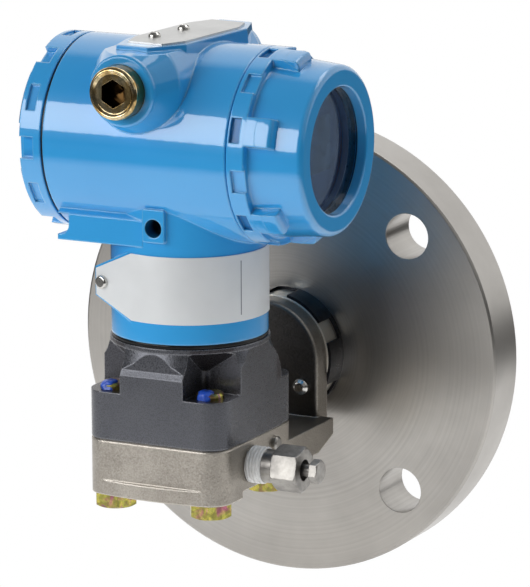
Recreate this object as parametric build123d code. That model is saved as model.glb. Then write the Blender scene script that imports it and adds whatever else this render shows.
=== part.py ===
from build123d import *

import math
import os

# Field pressure transmitter on a raised-face flange, one node for each physical piece.
# Millimetres, +Z up. The origin is the centre of the flange's gasket face, +Y points out of
# that face and away from the transmitter, and +X points towards the window cover.

# Large flange that bolts to the vessel
flange_diameter = 190.5
flange_thickness = 22.3
raised_face_diameter = flange_diameter * 2 / 3
raised_face_height = 1.6
bolt_circle = 0.8 * flange_diameter
bolt_hole_diameter = 19.05
bolt_hole_count = 4
bolt_first_angle = 43.5
flange_edge = 0.9
fill_bore = 3.0

# Flush diaphragm welded into the gasket face
diaphragm_diameter = 66.0
diaphragm_recess = 1.6
diaphragm_foil = 0.4
diaphragm_waves = 4
diaphragm_wave_height = 0.5
diaphragm_rim = 4.0

# Hub between the flange and the casting's upright plate
hub_length = 12.3
band_diameter = 53.2
band_wall = 1.2
band_edge = 1.8
band_window_count = 6
band_window_angle = 20.0
band_first_window = 26.0
slip = 0.05

# Level casting: body under the module, rear bar and upright plate
module_y = -110.0
joint_z = -14.4
body_width = 61.4
body_depth = 67.2
body_corner = 9.4
casting_height = 22.4
casting_web_height = 19.8
casting_bottom_edge = 1.6
bar_drop = 8.1
bar_end_gap = 6.3
bar_chamfer = 5.0
bar_chamfer_run = 14.0
plate_radius = 24.8
plate_thickness = 9.3
plate_edge = 1.5
lip_width = 44.0
lip_height = 6.0
lip_bulge = 1.8
foot_depth = 19.0

# Bolts from below, and the blue lacquer on their ends
bolt_diameter = 11.1
bolt_spacing_x = body_width - 2 * body_corner
bolt_spacing_y = body_depth - 2 * body_corner
bolt_head_flats = 15.9
bolt_head_height = 6.0
bolt_clearance = 0.15
bolt_end_stand = 2.6
mark_diameter = 7.6
mark_height = 1.0
mark_offsets = [(-0.6, -2.4), (-1.6, 2.0), (-0.4, -2.5), (2.2, 0.9)]

# Sensor module
pocket_floor_height = 19.6
pocket_half_width = body_width / 2 - 16.7
pocket_half_depth = body_depth / 2 - 18.1
pocket_corner = 3.5
pocket_relief = 6.6
pocket_relief_height = 9.0
pocket_apex_height = 27.9
pocket_apex_reach = 22.0
pocket_roof_rise = 9.4
pocket_roof_run = 9.2
shoulder_height = 27.2
module_height = 39.0
joint_chamfer = 0.6
dome_flare = 4.6
dome_bend = 5.2
ring_height = 1.8
ring_radius = 32.0
dome_reach = 47.0
pad_radius = 17.8
pad_centre_height = 19.2
pad_offset_y = 2.2
spigot_diameter = 42.0
spigot_height = 32.0

# Isolators and gaskets between the module and the casting
isolator_spacing = 29.0
isolator_diameter = 23.0
isolator_thickness = 0.8
gasket_section = 1.6
gasket_wall = 2.4

# Vent valve on the +X side of the casting
vent_y_offset = -6.7
vent_drop = 10.1
vent_thread_diameter = 13.6
vent_thread_depth = 9.0
tape_length = 7.0
tape_diameter = 15.4
collar_length = 5.0
collar_diameter = 13.4
vent_hex_flats = 16.2
vent_hex_length = 11.4
vent_hex_turn = 15.0
vent_bore = 5.2
vent_recess_diameter = 8.6
vent_recess_depth = 3.4
vent_ball_diameter = 4.4
vent_seat_bore = 2.0
stem_diameter = 5.0
stem_hex_flats = 8.5
stem_hex_length = 3.6
stem_stand = 3.6
side_plug_diameter = 6.0
side_plug_stand = 2.2
side_plug_depth = 6.0
side_plug_offset_y = 13.4
side_plug_drop = 6.4

# Screws in the upright plate
hub_screw_spacing = 35.2
hub_screw_drop = 10.0
hub_screw_head = 7.2
hub_screw_head_height = 3.0
hub_screw_shank = 4.0

# Seal between the module and the housing neck
neck_seal_height = 1.6
neck_seal_inset = 0.7

# Electronics housing: neck, barrel, roof and conduit bosses
neck_radius = 31.4
neck_bottom = 26.4
barrel_axis_z = 103.6
barrel_radius = 39.0
barrel_wall = 3.0
barrel_left = -44.7
barrel_right = 36.0
cover_thread_radius = barrel_radius - barrel_wall
cover_thread_depth = 12.0
cavity_radius = cover_thread_radius - 2.0
midwall_left = 5.4
midwall_thickness = 4.0
passage_x = 15.0
passage_diameter = 9.0
passage_drop = 20.0
roof_z = barrel_axis_z + barrel_radius + 2.4
roof_centre_x = -1.1
roof_centre_y = -108.5
roof_turn = -4.5
roof_width = 27.6
roof_length = 74.0
roof_front_width = 14.2
roof_front_shift = -2.0
roof_root = 12.0
roof_corner_run = 14.5
roof_slope = 2.0
conduit_x = -4.35
conduit_z = roof_z - 15.7
conduit_reach = 47.6
conduit_radius = 14.2
conduit_bore = 18.4
conduit_passage = 16.0
conduit_root = 12.0
conduit_thread_depth = 16.0
saddle_radius = 19.6
saddle_start = 1.6
saddle_run = 11.0
saddle_drop = 1.8

# Rail and square boss under the barrel
rail_left = -42.4
rail_bottom = 64.7
rail_face_height = 10.6
rail_bevel_height = 2.6
rail_bevel_depth = 3.6
rail_half_depth = 31.2
rail_notch_depth = 5.0
rail_lip = 2.2
rail_notch_height = 8.4
boss_x = 1.2
boss_width = 9.6
boss_height = 13.2
boss_stand = 1.6
boss_hole_diameter = 7.3
boss_hole_depth = 9.0
boss_hole_rise = 8.3
label_pad_length = 21.5
label_pad_bottom = 34.6
label_height = 27.0
label_tip_height = 10.6
label_tip_run = 18.0
label_angle = 13.5
label_wrap = 112.0
label_thickness = 0.4
label_margin = 0.8
label_pad_inset = 0.2
label_screw_head = 5.6
label_screw_head_height = 1.6
label_screw_shank = 3.0
label_screw_depth = 5.0
label_screw_setback = 3.4
set_screw_diameter = 5.0
set_screw_length = 8.0
set_screw_height = 42.0

# Pipe plug in the front conduit
plug_diameter = 21.0
plug_stand = 7.3
plug_rim = 2.2
plug_socket_flats = 10.0
plug_socket_depth = 9.0

# Roof plate, its screws and the push buttons under it
plate_width = 23.2
plate_length = 61.6
plate_front_width = 15.4
plate_corner_run = 11.0
nameplate_thickness = 0.8
nameplate_screw_x = -4.4
nameplate_screw_y = -6.3
nameplate_screw_spacing = 21.3
nameplate_screw_head = 5.0
nameplate_screw_head_height = 1.9
nameplate_screw_shank = 2.6
nameplate_screw_depth = 5.0
button_x = 3.6
button_spacing = 21.0
button_diameter = 6.0
button_height = 3.6
button_well_depth = 6.2
button_travel = 1.8

# Covers
cover_gap = 0.3
seal_gap = 1.0
skirt_clearance = 0.3
skirt_length = 10.0
skirt_wall = 3.4
cover_band = 7.6
cover_step = 2.6
drum_length = 29.8
drum_front_radius = barrel_radius - 5.5
drum_nose = 2.4
lug_count = 6
lug_width = 11.4
lug_length = 11.6
lug_ramp = 7.0
lug_first_angle = 161.8
lug_recess_width = 9.8
lug_recess_length = 4.4
lug_recess_depth = 1.8
notch_width = 9.2
notch_start = 1.9
notch_depth = 1.5
window_radius = barrel_radius - 13.8
window_lip = 4.2
glass_thickness = 6.0
glass_radius = window_radius + 2.8
window_gasket_wall = 1.6
retainer_height = 2.4
retainer_wall = 3.2
blind_band = 3.2
blind_length = 11.6
blind_gap_angle = 13.0
blind_step_angle = 28.0
blind_step = 2.4
blind_first_gap = 182.5
blind_gap_depth = 3.0
blind_pocket_width = 10.6
blind_pocket_length = 4.2
blind_pocket_depth = 1.3
blind_floor = 4.0
blind_face_radius = barrel_radius - 6.0
seal_groove_width = 2.4
seal_groove_depth = 1.9

# Electronics
board_radius = cavity_radius - 3.0
board_thickness = 1.6
board_standoff = 9.0
standoff_diameter = 6.0
standoff_circle = 2 * board_radius - 12.0
board_screw_head = 5.0
board_screw_head_height = 1.6
board_screw_shank = 2.5
board_screw_depth = 6.0
chip_height = 2.4
display_radius = cavity_radius - 8.0
display_leg_length = 5.0
display_leg_diameter = 4.0
display_leg_spacing = 40.0
display_depth = 26.0
display_rim = 1.6
display_recess = 1.4
display_pane_width = 36.0
display_pane_height = 22.0
display_pane_thickness = 1.0
block_radius = cavity_radius - 4.0
block_depth = 17.0
block_flat_height = 15.0
terminal_count = 3
terminal_spacing = 14.0
terminal_screw_head = 7.0
terminal_screw_head_height = 3.0
terminal_screw_shank = 3.4
terminal_screw_depth = 8.0
barrier_thickness = 1.6
barrier_height = 5.0
ground_screw_x = -24.0
ground_screw_drop = cavity_radius - 3.0
ground_boss_height = 3.4
ground_boss_diameter = 8.0

# Places worked out from the sizes above
flange_front = -(raised_face_height + flange_thickness)
plate_rear = flange_front - hub_length
plate_front = plate_rear - plate_thickness
casting_bottom = joint_z - casting_height
bar_top = joint_z - bar_drop
bolt_head_bottom = casting_bottom - bolt_head_height
pocket_floor = joint_z + pocket_floor_height
module_top = joint_z + module_height
body_side = body_width / 2
vent_y = module_y + vent_y_offset
vent_z = joint_z - vent_drop
conduit_front = module_y - conduit_reach
conduit_rear = module_y + conduit_reach
midwall_right = midwall_left + midwall_thickness
band_bore = band_diameter / 2 - band_wall
cover_radius = barrel_radius
drum_radius = cover_radius - cover_step - 0.8
skirt_radius = cover_thread_radius - skirt_clearance
skirt_bore = skirt_radius - skirt_wall
meter_cover_start = barrel_right + cover_gap
meter_cover_end = meter_cover_start + drum_length
glass_front = meter_cover_end - window_lip
glass_back = glass_front - glass_thickness
blind_start = barrel_left - seal_gap
blind_end = blind_start - blind_length
board_back = midwall_right + board_standoff
board_front = board_back + board_thickness
display_back = board_front + display_leg_length
display_front = display_back + display_depth
block_back = midwall_left
block_front = block_back - block_depth
nameplate_bottom = roof_z
roof_plane = Plane.XY.offset(roof_z)


def slab_x(sketch, x_low, x_high):
    """Solid between two X planes; the sketch's axes are Y and Z."""
    plane = Plane(origin=(x_low, 0, 0), x_dir=(0, 1, 0), z_dir=(1, 0, 0))
    return extrude(plane * sketch, amount=x_high - x_low)


def slab_y(sketch, y_low, y_high):
    """Solid between two Y planes; the sketch's axes are X and Z."""
    plane = Plane(origin=(0, y_high, 0), x_dir=(1, 0, 0), z_dir=(0, -1, 0))
    return extrude(plane * sketch, amount=y_high - y_low)


def slab_z(sketch, z_low, z_high):
    """Solid between two Z planes; the sketch's axes are X and Y."""
    return extrude(Plane.XY.offset(z_low) * sketch, amount=z_high - z_low)


def rod_x(y, z, radius, x_low, x_high):
    """Round bar along X."""
    return slab_x(Pos(y, z) * Circle(radius), x_low, x_high)


def rod_y(x, z, radius, y_low, y_high):
    """Round bar along Y."""
    return slab_y(Pos(x, z) * Circle(radius), y_low, y_high)


def rod_z(x, y, radius, z_low, z_high):
    """Round bar along Z."""
    return slab_z(Pos(x, y) * Circle(radius), z_low, z_high)


def block(x_low, x_high, y_low, y_high, z_low, z_high):
    """Box between its limits."""
    size = (x_high - x_low, y_high - y_low, z_high - z_low)
    middle = ((x_low + x_high) / 2, (y_low + y_high) / 2, (z_low + z_high) / 2)
    return Pos(*middle) * Box(*size)


def outline(points, radii=None):
    """Closed face through the points, with a round for each corner that has a radius."""
    if radii is None:
        return make_face(Polyline(*points, close=True))
    return make_face(FilletPolyline(*points, radius=radii, close=True))


def turned_x(points, y, z, radii=None):
    """Turned piece about a line along X; points are (x, radius)."""
    plane = Plane(origin=(0, y, z), x_dir=(1, 0, 0), z_dir=(0, -1, 0))
    return revolve(plane * outline(points, radii), Axis((0, y, z), (1, 0, 0)), 360)


def turned_y(points, x, z, radii=None):
    """Turned piece about a line along Y; points are (y, radius)."""
    plane = Plane(origin=(x, 0, z), x_dir=(0, 1, 0), z_dir=(1, 0, 0))
    return revolve(plane * outline(points, radii), Axis((x, 0, z), (0, 1, 0)), 360)


def turned_z(points, x, y, radii=None):
    """Turned piece about a line along Z; points are (radius, z)."""
    plane = Plane(origin=(x, y, 0), x_dir=(1, 0, 0), z_dir=(0, -1, 0))
    return revolve(plane * outline(points, radii), Axis((x, y, 0), (0, 0, 1)), 360)


def on_roof(across, along):
    """Plan position of a point given in the turned roof's own axes."""
    turn = math.radians(roof_turn)
    x = roof_centre_x + across * math.cos(turn) - along * math.sin(turn)
    y = roof_centre_y + across * math.sin(turn) + along * math.cos(turn)
    return (x, y)


def barrel_copies(tool, count, first_angle):
    """Copies of a tool made at angle 0, turned about the barrel's axis and joined."""
    copies = []
    for index in range(count):
        turn = first_angle + index * 360 / count
        copies.append(Rotation(turn, 0, 0) * tool)
    place = Pos(0, module_y, barrel_axis_z)
    return [place * copy for copy in copies]


def bolt_places():
    """Plan positions of the four bolts."""
    spots = []
    for side in (-1, 1):
        for end in (-1, 1):
            spots.append((side * bolt_spacing_x / 2, module_y + end * bolt_spacing_y / 2))
    return spots


def body_plan():
    """Rounded outline that the module and the casting share."""
    return Pos(0, module_y) * RectangleRounded(body_width, body_depth, body_corner)


# Process side


def mounting_flange():
    """Round flange with its raised gasket face, bolt holes and diaphragm seat."""
    face_radius = raised_face_diameter / 2
    outer = flange_diameter / 2
    seat = diaphragm_diameter / 2 + slip
    profile = [
        (flange_front, 0),
        (flange_front, outer - flange_edge),
        (flange_front + flange_edge, outer),
        (-raised_face_height - flange_edge, outer),
        (-raised_face_height, outer - flange_edge),
        (-raised_face_height, face_radius),
        (0, face_radius),
        (0, seat),
        (-diaphragm_recess, seat),
        (-diaphragm_recess, 0),
    ]
    body = turned_y(profile, 0, 0)
    for index in range(bolt_hole_count):
        angle = math.radians(bolt_first_angle + index * 360 / bolt_hole_count)
        x = bolt_circle / 2 * math.cos(angle)
        z = bolt_circle / 2 * math.sin(angle)
        body -= rod_y(x, z, bolt_hole_diameter / 2, flange_front - 1, 1)
    return body - rod_y(0, 0, fill_bore / 2, flange_front - 1, 1)


def process_diaphragm():
    """Corrugated foil disc with a flat weld rim, flush with the gasket face."""
    radius = diaphragm_diameter / 2
    top = -diaphragm_recess / 3
    steps = diaphragm_waves * 2
    inner = radius - diaphragm_rim
    crest = [(top, radius), (top, inner)]
    for index in range(1, steps):
        lift = -diaphragm_wave_height if index % 2 else 0.0
        crest.append((top + lift, inner * (1 - index / steps)))
    crest.append((top, 0))
    under = [(y - diaphragm_foil, r) for y, r in reversed(crest)]
    foil = turned_y(crest + under, 0, 0)
    rim = turned_y([
        (-diaphragm_recess, radius),
        (-diaphragm_recess, inner + 0.5),
        (top, inner + 0.5),
        (top, radius),
    ], 0, 0)
    return foil + rim


def process_hub():
    """Collar that joins the flange to the upright plate, with the fill passage."""
    radius = band_bore - slip
    body = rod_y(0, 0, radius, plate_rear, flange_front)
    return body - rod_y(0, 0, fill_bore / 2, plate_rear - 1, flange_front + 1)


def hub_band():
    """Thin sleeve round the hub with windows that open towards the plate."""
    outer = band_diameter / 2
    sleeve = turned_y([
        (plate_rear + 0.1, band_bore),
        (plate_rear + 0.1, outer),
        (flange_front, outer),
        (flange_front, band_bore),
    ], 0, 0)
    half = math.radians(band_window_angle / 2)
    reach = outer * 1.3
    for index in range(band_window_count):
        angle = math.radians(band_first_window + index * 360 / band_window_count)
        low = (reach * math.cos(angle - half), reach * math.sin(angle - half))
        high = (reach * math.cos(angle + half), reach * math.sin(angle + half))
        wedge = outline([(0, 0), low, high])
        sleeve -= slab_y(wedge, plate_rear - 1, flange_front - band_edge)
    return sleeve


def upright_plate():
    """Round-topped plate that the hub is screwed to."""
    arch = Circle(plate_radius)
    foot = Pos(0, bar_top / 2 - 1) * Rectangle(2 * plate_radius, -bar_top + 2)
    plate = slab_y(arch + foot, plate_front, plate_rear)
    rim = [edge for edge in plate.edges() if edge.center().Z > bar_top + 1]
    front = [edge for edge in rim if abs(edge.center().Y - plate_front) < 0.01]
    plate = fillet(front, plate_edge)
    return plate


def process_flange():
    """Stainless casting: body under the module, bar behind it and upright plate."""
    front = module_y - body_depth / 2
    rear = module_y + body_depth / 2
    bar_end = plate_rear - bar_end_gap
    web = slab_z(body_plan(), joint_z - casting_web_height, joint_z)
    top_edges = [edge for edge in web.edges() if abs(edge.center().Z - joint_z) < 0.01]
    web = chamfer(top_edges, joint_chamfer)
    feet_plan = body_plan() & (Pos(0, front + foot_depth / 2) * Rectangle(body_width, foot_depth))
    feet_plan += body_plan() & (Pos(0, rear - foot_depth / 2) * Rectangle(body_width, foot_depth))
    feet = slab_z(feet_plan, casting_bottom, joint_z - casting_web_height + 1)
    bar_low = joint_z - casting_web_height
    side = outline([
        (module_y, bar_low),
        (bar_end - bar_chamfer_run, bar_low),
        (bar_end, bar_low + bar_chamfer),
        (bar_end, bar_top),
        (module_y, bar_top),
    ])
    bar = slab_x(side, -body_side, body_side)
    foot = block(-plate_radius, plate_radius, plate_front, plate_rear, bar_low + bar_chamfer, bar_top)
    body = web + feet + bar + foot + upright_plate()
    lip_radius = (lip_width ** 2 / 4 + lip_bulge ** 2) / (2 * lip_bulge)
    lip_plan = Pos(0, front + lip_radius - lip_bulge) * Circle(lip_radius)
    lip_plan &= Pos(0, front) * Rectangle(lip_width, 4 * lip_bulge)
    body += slab_z(lip_plan, casting_bottom, casting_bottom + lip_height)
    for x, y in bolt_places():
        body -= rod_z(x, y, bolt_diameter / 2 + bolt_clearance, casting_bottom - 1, joint_z + 1)
    for side_sign in (-1, 1):
        x = side_sign * isolator_spacing / 2
        seat = isolator_diameter / 2 + slip
        body -= rod_z(x, module_y, seat, joint_z - gasket_section, joint_z + 1)
    body -= rod_x(vent_y, vent_z, vent_thread_diameter / 2 + slip,
                  body_side - vent_thread_depth, body_side + 1)
    plug_y = module_y + side_plug_offset_y
    plug_z = joint_z - side_plug_drop
    body -= rod_x(plug_y, plug_z, side_plug_diameter / 2 + slip,
                  body_side - side_plug_depth, body_side + 1)
    for side_sign in (-1, 1):
        x = side_sign * hub_screw_spacing / 2
        body -= rod_y(x, -hub_screw_drop, hub_screw_shank / 2 + slip, plate_front - 1, plate_rear + 1)
    body -= rod_y(0, 0, fill_bore / 2, plate_front - 1, plate_rear + 1)
    return body


def hub_screws():
    """Two dome-headed screws through the upright plate."""
    screws = []
    for side_sign in (-1, 1):
        x = side_sign * hub_screw_spacing / 2
        radius = hub_screw_head / 2
        head = turned_y([
            (plate_front, 0),
            (plate_front, radius),
            (plate_front - hub_screw_head_height * 0.5, radius),
            (plate_front - hub_screw_head_height, radius * 0.55),
            (plate_front - hub_screw_head_height, 0),
        ], x, -hub_screw_drop, [0, 0, radius * 0.4, radius * 0.3, 0])
        head += rod_y(x, -hub_screw_drop, hub_screw_shank / 2, plate_front, plate_rear)
        screws.append(head)
    return Compound(screws)


def flange_bolts():
    """Four hex bolts that pull the casting up against the module."""
    bolts = []
    for x, y in bolt_places():
        hexagon = Pos(x, y) * RegularPolygon(bolt_head_flats / 2, 6, major_radius=False)
        head = slab_z(hexagon, bolt_head_bottom, casting_bottom)
        cone_radius = bolt_head_flats / math.sqrt(3)
        crown = turned_z([
            (0, bolt_head_bottom),
            (cone_radius - 1.6, bolt_head_bottom),
            (cone_radius + 0.6, bolt_head_bottom + 1.4),
            (cone_radius + 0.6, casting_bottom),
            (0, casting_bottom),
        ], x, y)
        head &= crown
        end = pocket_floor + bolt_end_stand
        radius = bolt_diameter / 2
        shank = turned_z([
            (0, casting_bottom),
            (radius, casting_bottom),
            (radius, end - 0.8),
            (radius - 0.8, end),
            (0, end),
        ], x, y)
        bolts.append(head + shank)
    return Compound(bolts)


def bolt_marks():
    """Blue lacquer over the bolt ends and down their sides to the pocket floor."""
    marks = []
    end = pocket_floor + bolt_end_stand
    radius = mark_diameter / 2
    for (x, y), (x_shift, y_shift) in zip(bolt_places(), mark_offsets):
        dab = turned_z([
            (0, pocket_floor + 0.1),
            (radius, pocket_floor + 0.1),
            (radius * 0.9, end),
            (radius * 0.45, end + mark_height),
            (0, end + mark_height),
        ], x + x_shift, y + y_shift)
        marks.append(dab - rod_z(x, y, bolt_diameter / 2, casting_bottom, end))
    return Compound(marks)


# Sensor module


def module_pocket(x, y):
    """Pocket over one bolt, open to its corner, with a roof that slopes up and outward."""
    x_out = math.copysign(1, x)
    y_out = math.copysign(1, y - module_y)
    far = body_width
    radius = pocket_corner
    plan = outline([
        (x_out * pocket_half_width, module_y + y_out * pocket_half_depth),
        (x_out * far, module_y + y_out * pocket_half_depth),
        (x_out * far, module_y + y_out * far),
        (x_out * pocket_half_width, module_y + y_out * far),
    ], [radius, 0, 0, 0])
    apex = joint_z + pocket_apex_height
    slope = pocket_roof_rise / pocket_roof_run
    drop = apex - pocket_floor
    section = outline([
        (pocket_apex_reach - drop / slope, pocket_floor),
        (3 * far, pocket_floor),
        (3 * far, apex + pocket_roof_rise),
        (pocket_apex_reach + pocket_roof_run, apex + pocket_roof_rise),
    ])
    reach = math.hypot(x, y - module_y)
    along = (x / reach, (y - module_y) / reach, 0)
    across = (along[1], -along[0], 0)
    plane = Plane(origin=(0, module_y, 0), x_dir=along, z_dir=across)
    wedge = extrude(plane * section, amount=far, both=True)
    return slab_z(plan, pocket_floor, joint_z + module_height) & wedge


def arched_pad(side_sign):
    """Flat pad with a round top on one side of the module."""
    centre_y = module_y + pad_offset_y
    centre_z = joint_z + pad_centre_height
    arch = Pos(centre_y, centre_z) * Circle(pad_radius)
    leg_height = pad_centre_height
    legs = Pos(centre_y, centre_z - leg_height / 2) * Rectangle(2 * pad_radius, leg_height)
    inner = spigot_diameter / 2
    if side_sign > 0:
        return slab_x(arch + legs, inner, body_side)
    return slab_x(arch + legs, -body_side, -inner)


def sensor_module():
    """Cast module body with pockets over the bolts and a spigot for the housing."""
    shoulder_z = joint_z + shoulder_height
    neck_z = module_top - ring_height
    prism = slab_z(body_plan(), joint_z, neck_z)
    low_edges = [edge for edge in prism.edges() if abs(edge.center().Z - joint_z) < 0.01]
    prism = chamfer(low_edges, joint_chamfer)
    dome = turned_z([
        (0, joint_z),
        (dome_reach, joint_z),
        (dome_reach, pocket_floor),
        (ring_radius + dome_flare, shoulder_z),
        (ring_radius + dome_flare * 0.26, shoulder_z + dome_bend),
        (ring_radius - 0.2, neck_z),
        (0, neck_z),
    ], 0, module_y)
    half = body_depth / 2
    side = outline([
        (module_y - half - 1, joint_z - 1),
        (module_y + half + 1, joint_z - 1),
        (module_y + half + 1, shoulder_z),
        (module_y + half, shoulder_z),
        (module_y + half - 1.2, shoulder_z + dome_bend * 0.42),
        (module_y + half - 1.7, neck_z + 1),
        (module_y - half + 1.7, neck_z + 1),
        (module_y - half + 1.2, shoulder_z + dome_bend * 0.42),
        (module_y - half, shoulder_z),
        (module_y - half - 1, shoulder_z),
    ])
    body = prism & dome & slab_x(side, -body_width, body_width)
    for x, y in bolt_places():
        body -= module_pocket(x, y)
    body += arched_pad(1)
    body += arched_pad(-1)
    for x, y in bolt_places():
        relief_top = pocket_floor + pocket_relief_height
        body -= rod_z(x, y, pocket_relief, pocket_floor, relief_top)
        body -= rod_z(x, y, bolt_diameter / 2 + bolt_clearance, joint_z - 1, pocket_floor + 1)
    body += rod_z(0, module_y, ring_radius, neck_z, module_top)
    body += rod_z(0, module_y, spigot_diameter / 2, module_top, module_top + spigot_height)
    for side_sign in (-1, 1):
        x = side_sign * isolator_spacing / 2
        seat = isolator_diameter / 2 - gasket_wall
        body -= rod_z(x, module_y, seat, joint_z - 1, joint_z + isolator_thickness + 0.4)
    return body


def isolator_diaphragms():
    """Two thin discs that face the process cavities."""
    discs = []
    for side_sign in (-1, 1):
        x = side_sign * isolator_spacing / 2
        top = joint_z + isolator_thickness + 0.4
        discs.append(rod_z(x, module_y, isolator_diameter / 2 - gasket_wall - slip,
                           top - isolator_thickness, top))
    return Compound(discs)


def process_gaskets():
    """Two rings that seal the module to the casting."""
    rings = []
    for side_sign in (-1, 1):
        x = side_sign * isolator_spacing / 2
        outer = isolator_diameter / 2
        ring = rod_z(x, module_y, outer, joint_z - gasket_section, joint_z)
        rings.append(ring - rod_z(x, module_y, outer - gasket_wall, joint_z - 5, joint_z + 5))
    return Compound(rings)


# Vent valve


def vent_hexagon(flats):
    """Hexagon in the Y and Z plane at the valve's axis."""
    shape = RegularPolygon(flats / 2, 6, major_radius=False)
    return Pos(vent_y, vent_z) * Rot(0, 0, vent_hex_turn) * shape


tape_end = body_side + tape_length
collar_end = tape_end + collar_length
vent_end = collar_end + vent_hex_length
vent_start = body_side - vent_thread_depth
ball_x = vent_start + 1.6 + vent_ball_diameter / 2
stem_start = ball_x + vent_ball_diameter / 2 + slip
stem_head_start = vent_end + stem_stand


def vent_body():
    """Threaded valve body with its collar, hexagon, bore, seat and recess."""
    thread = rod_x(vent_y, vent_z, vent_thread_diameter / 2, vent_start, tape_end)
    collar = rod_x(vent_y, vent_z, collar_diameter / 2, tape_end, collar_end)
    hexagon = slab_x(vent_hexagon(vent_hex_flats), collar_end, vent_end)
    corner = vent_hex_flats / math.sqrt(3)
    hexagon &= turned_x([
        (collar_end, 0),
        (collar_end, corner - 1.0),
        (collar_end + 1.0, corner + 0.4),
        (vent_end - 1.0, corner + 0.4),
        (vent_end, corner - 1.0),
        (vent_end, 0),
    ], vent_y, vent_z)
    body = thread + collar + hexagon
    body -= rod_x(vent_y, vent_z, vent_bore / 2, vent_start + 1.5, vent_end + 1)
    body -= rod_x(vent_y, vent_z, vent_seat_bore / 2, vent_start - 1, vent_end)
    body -= rod_x(vent_y, vent_z, vent_recess_diameter / 2, vent_end - vent_recess_depth, vent_end + 1)
    return body


def vent_tape():
    """Thread tape wound round the exposed thread."""
    ring = rod_x(vent_y, vent_z, tape_diameter / 2, body_side, tape_end)
    return ring - rod_x(vent_y, vent_z, vent_thread_diameter / 2, body_side - 1, tape_end + 1)


def vent_ball():
    """Ball that closes the seat under the stem."""
    return Pos(ball_x, vent_y, vent_z) * Sphere(vent_ball_diameter / 2)


def vent_stem():
    """Stem with its small hexagon outside the valve."""
    stem = rod_x(vent_y, vent_z, stem_diameter / 2, stem_start, stem_head_start)
    head_end = stem_head_start + stem_hex_length
    head = slab_x(vent_hexagon(stem_hex_flats), stem_head_start, head_end)
    corner = stem_hex_flats / math.sqrt(3)
    head &= turned_x([
        (stem_head_start, 0),
        (stem_head_start, corner + 0.3),
        (head_end - 0.7, corner + 0.3),
        (head_end, corner - 0.8),
        (head_end, 0),
    ], vent_y, vent_z)
    return stem + head


def side_plug():
    """Small domed plug beside the valve."""
    y = module_y + side_plug_offset_y
    z = joint_z - side_plug_drop
    radius = side_plug_diameter / 2
    end = body_side + side_plug_stand
    return turned_x([
        (body_side - side_plug_depth, 0),
        (body_side - side_plug_depth, radius),
        (end - 0.7, radius),
        (end, radius - 0.9),
        (end, 0),
    ], y, z)


# Housing


def neck_seal():
    """Black ring that the housing's neck turns on."""
    outer = ring_radius - neck_seal_inset
    inner = spigot_diameter / 2 + slip
    ring = rod_z(0, module_y, outer, module_top, module_top + neck_seal_height)
    return ring - rod_z(0, module_y, inner, module_top - 1, module_top + neck_seal_height + 1)


def octagon(width, length, front_width, corner_run, front_shift=0.0):
    """Plan of the roof and its plate: a long shape with its four corners cut."""
    side = width / 2
    end = length / 2
    front = front_width / 2
    return outline([
        (-front + front_shift, -end),
        (front + front_shift, -end),
        (side, -end + corner_run),
        (side, end - corner_run),
        (front, end),
        (-front, end),
        (-side, end - corner_run),
        (-side, -end + corner_run),
    ])


def label_plan(gap, thickness, start_angle, end_angle, tail):
    """Plan of a band round the neck: an arc, and a straight tail at its left end."""
    inner = neck_radius + gap
    outer = inner + thickness

    def at(radius, degrees, along=0.0):
        angle = math.radians(degrees)
        x = radius * math.sin(angle) - along * math.cos(angle)
        y = module_y - radius * math.cos(angle) - along * math.sin(angle)
        return (x, y)

    middle = (start_angle + end_angle) / 2
    outer_arc = ThreePointArc(at(outer, start_angle), at(outer, middle), at(outer, end_angle))
    inner_arc = ThreePointArc(at(inner, end_angle), at(inner, middle), at(inner, start_angle))
    edges = [
        outer_arc,
        Line(at(outer, end_angle), at(inner, end_angle)),
        inner_arc,
        Line(at(inner, start_angle), at(inner, start_angle, tail)),
        Line(at(inner, start_angle, tail), at(outer, start_angle, tail)),
        Line(at(outer, start_angle, tail), at(outer, start_angle)),
    ]
    return make_face(edges)


def label_side(margin):
    """Side outline of the label, with its left tip narrowed, in X and Z."""
    tip_x = -neck_radius * math.sin(math.radians(label_angle))
    tip_x -= label_pad_length * math.cos(math.radians(label_angle)) + margin
    low = label_pad_bottom - margin
    high = label_pad_bottom + label_height + margin
    middle = (low + high) / 2
    half_tip = label_tip_height / 2 + margin * 0.6
    run = label_tip_run
    far = 2 * neck_radius
    return outline([
        (tip_x, middle - half_tip),
        (tip_x + run, low),
        (far, low),
        (far, high),
        (tip_x + run, high),
        (tip_x, middle + half_tip),
    ])


def neck_label():
    """Thin metal label that wraps the neck and lies on the flat pad."""
    plan = label_plan(slip, label_thickness, -label_angle, label_wrap, label_pad_length)
    band = slab_z(plan, label_pad_bottom, label_pad_bottom + label_height)
    side = slab_y(label_side(0), module_y - 2 * neck_radius, module_y + 2 * neck_radius)
    band &= side
    return band - label_screw_bore(label_screw_shank / 2 + slip)


def label_screw_plane():
    """Plane on the pad's face at the label screw, facing out."""
    angle = math.radians(-label_angle)
    along = label_pad_length - label_screw_setback
    radius = neck_radius
    x = radius * math.sin(angle) - along * math.cos(angle)
    y = module_y - radius * math.cos(angle) - along * math.sin(angle)
    z = label_pad_bottom + label_height / 2
    outward = (math.sin(angle), -math.cos(angle), 0)
    return Plane(origin=(x, y, z), x_dir=(0, 0, 1), z_dir=outward)


def label_screw_bore(radius):
    """Cutter for the label screw's shank, through the label and into the pad."""
    plane = label_screw_plane()
    outward = extrude(plane * Circle(radius), amount=3)
    return outward + extrude(plane * Circle(radius), amount=-label_screw_depth - 1)


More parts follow.
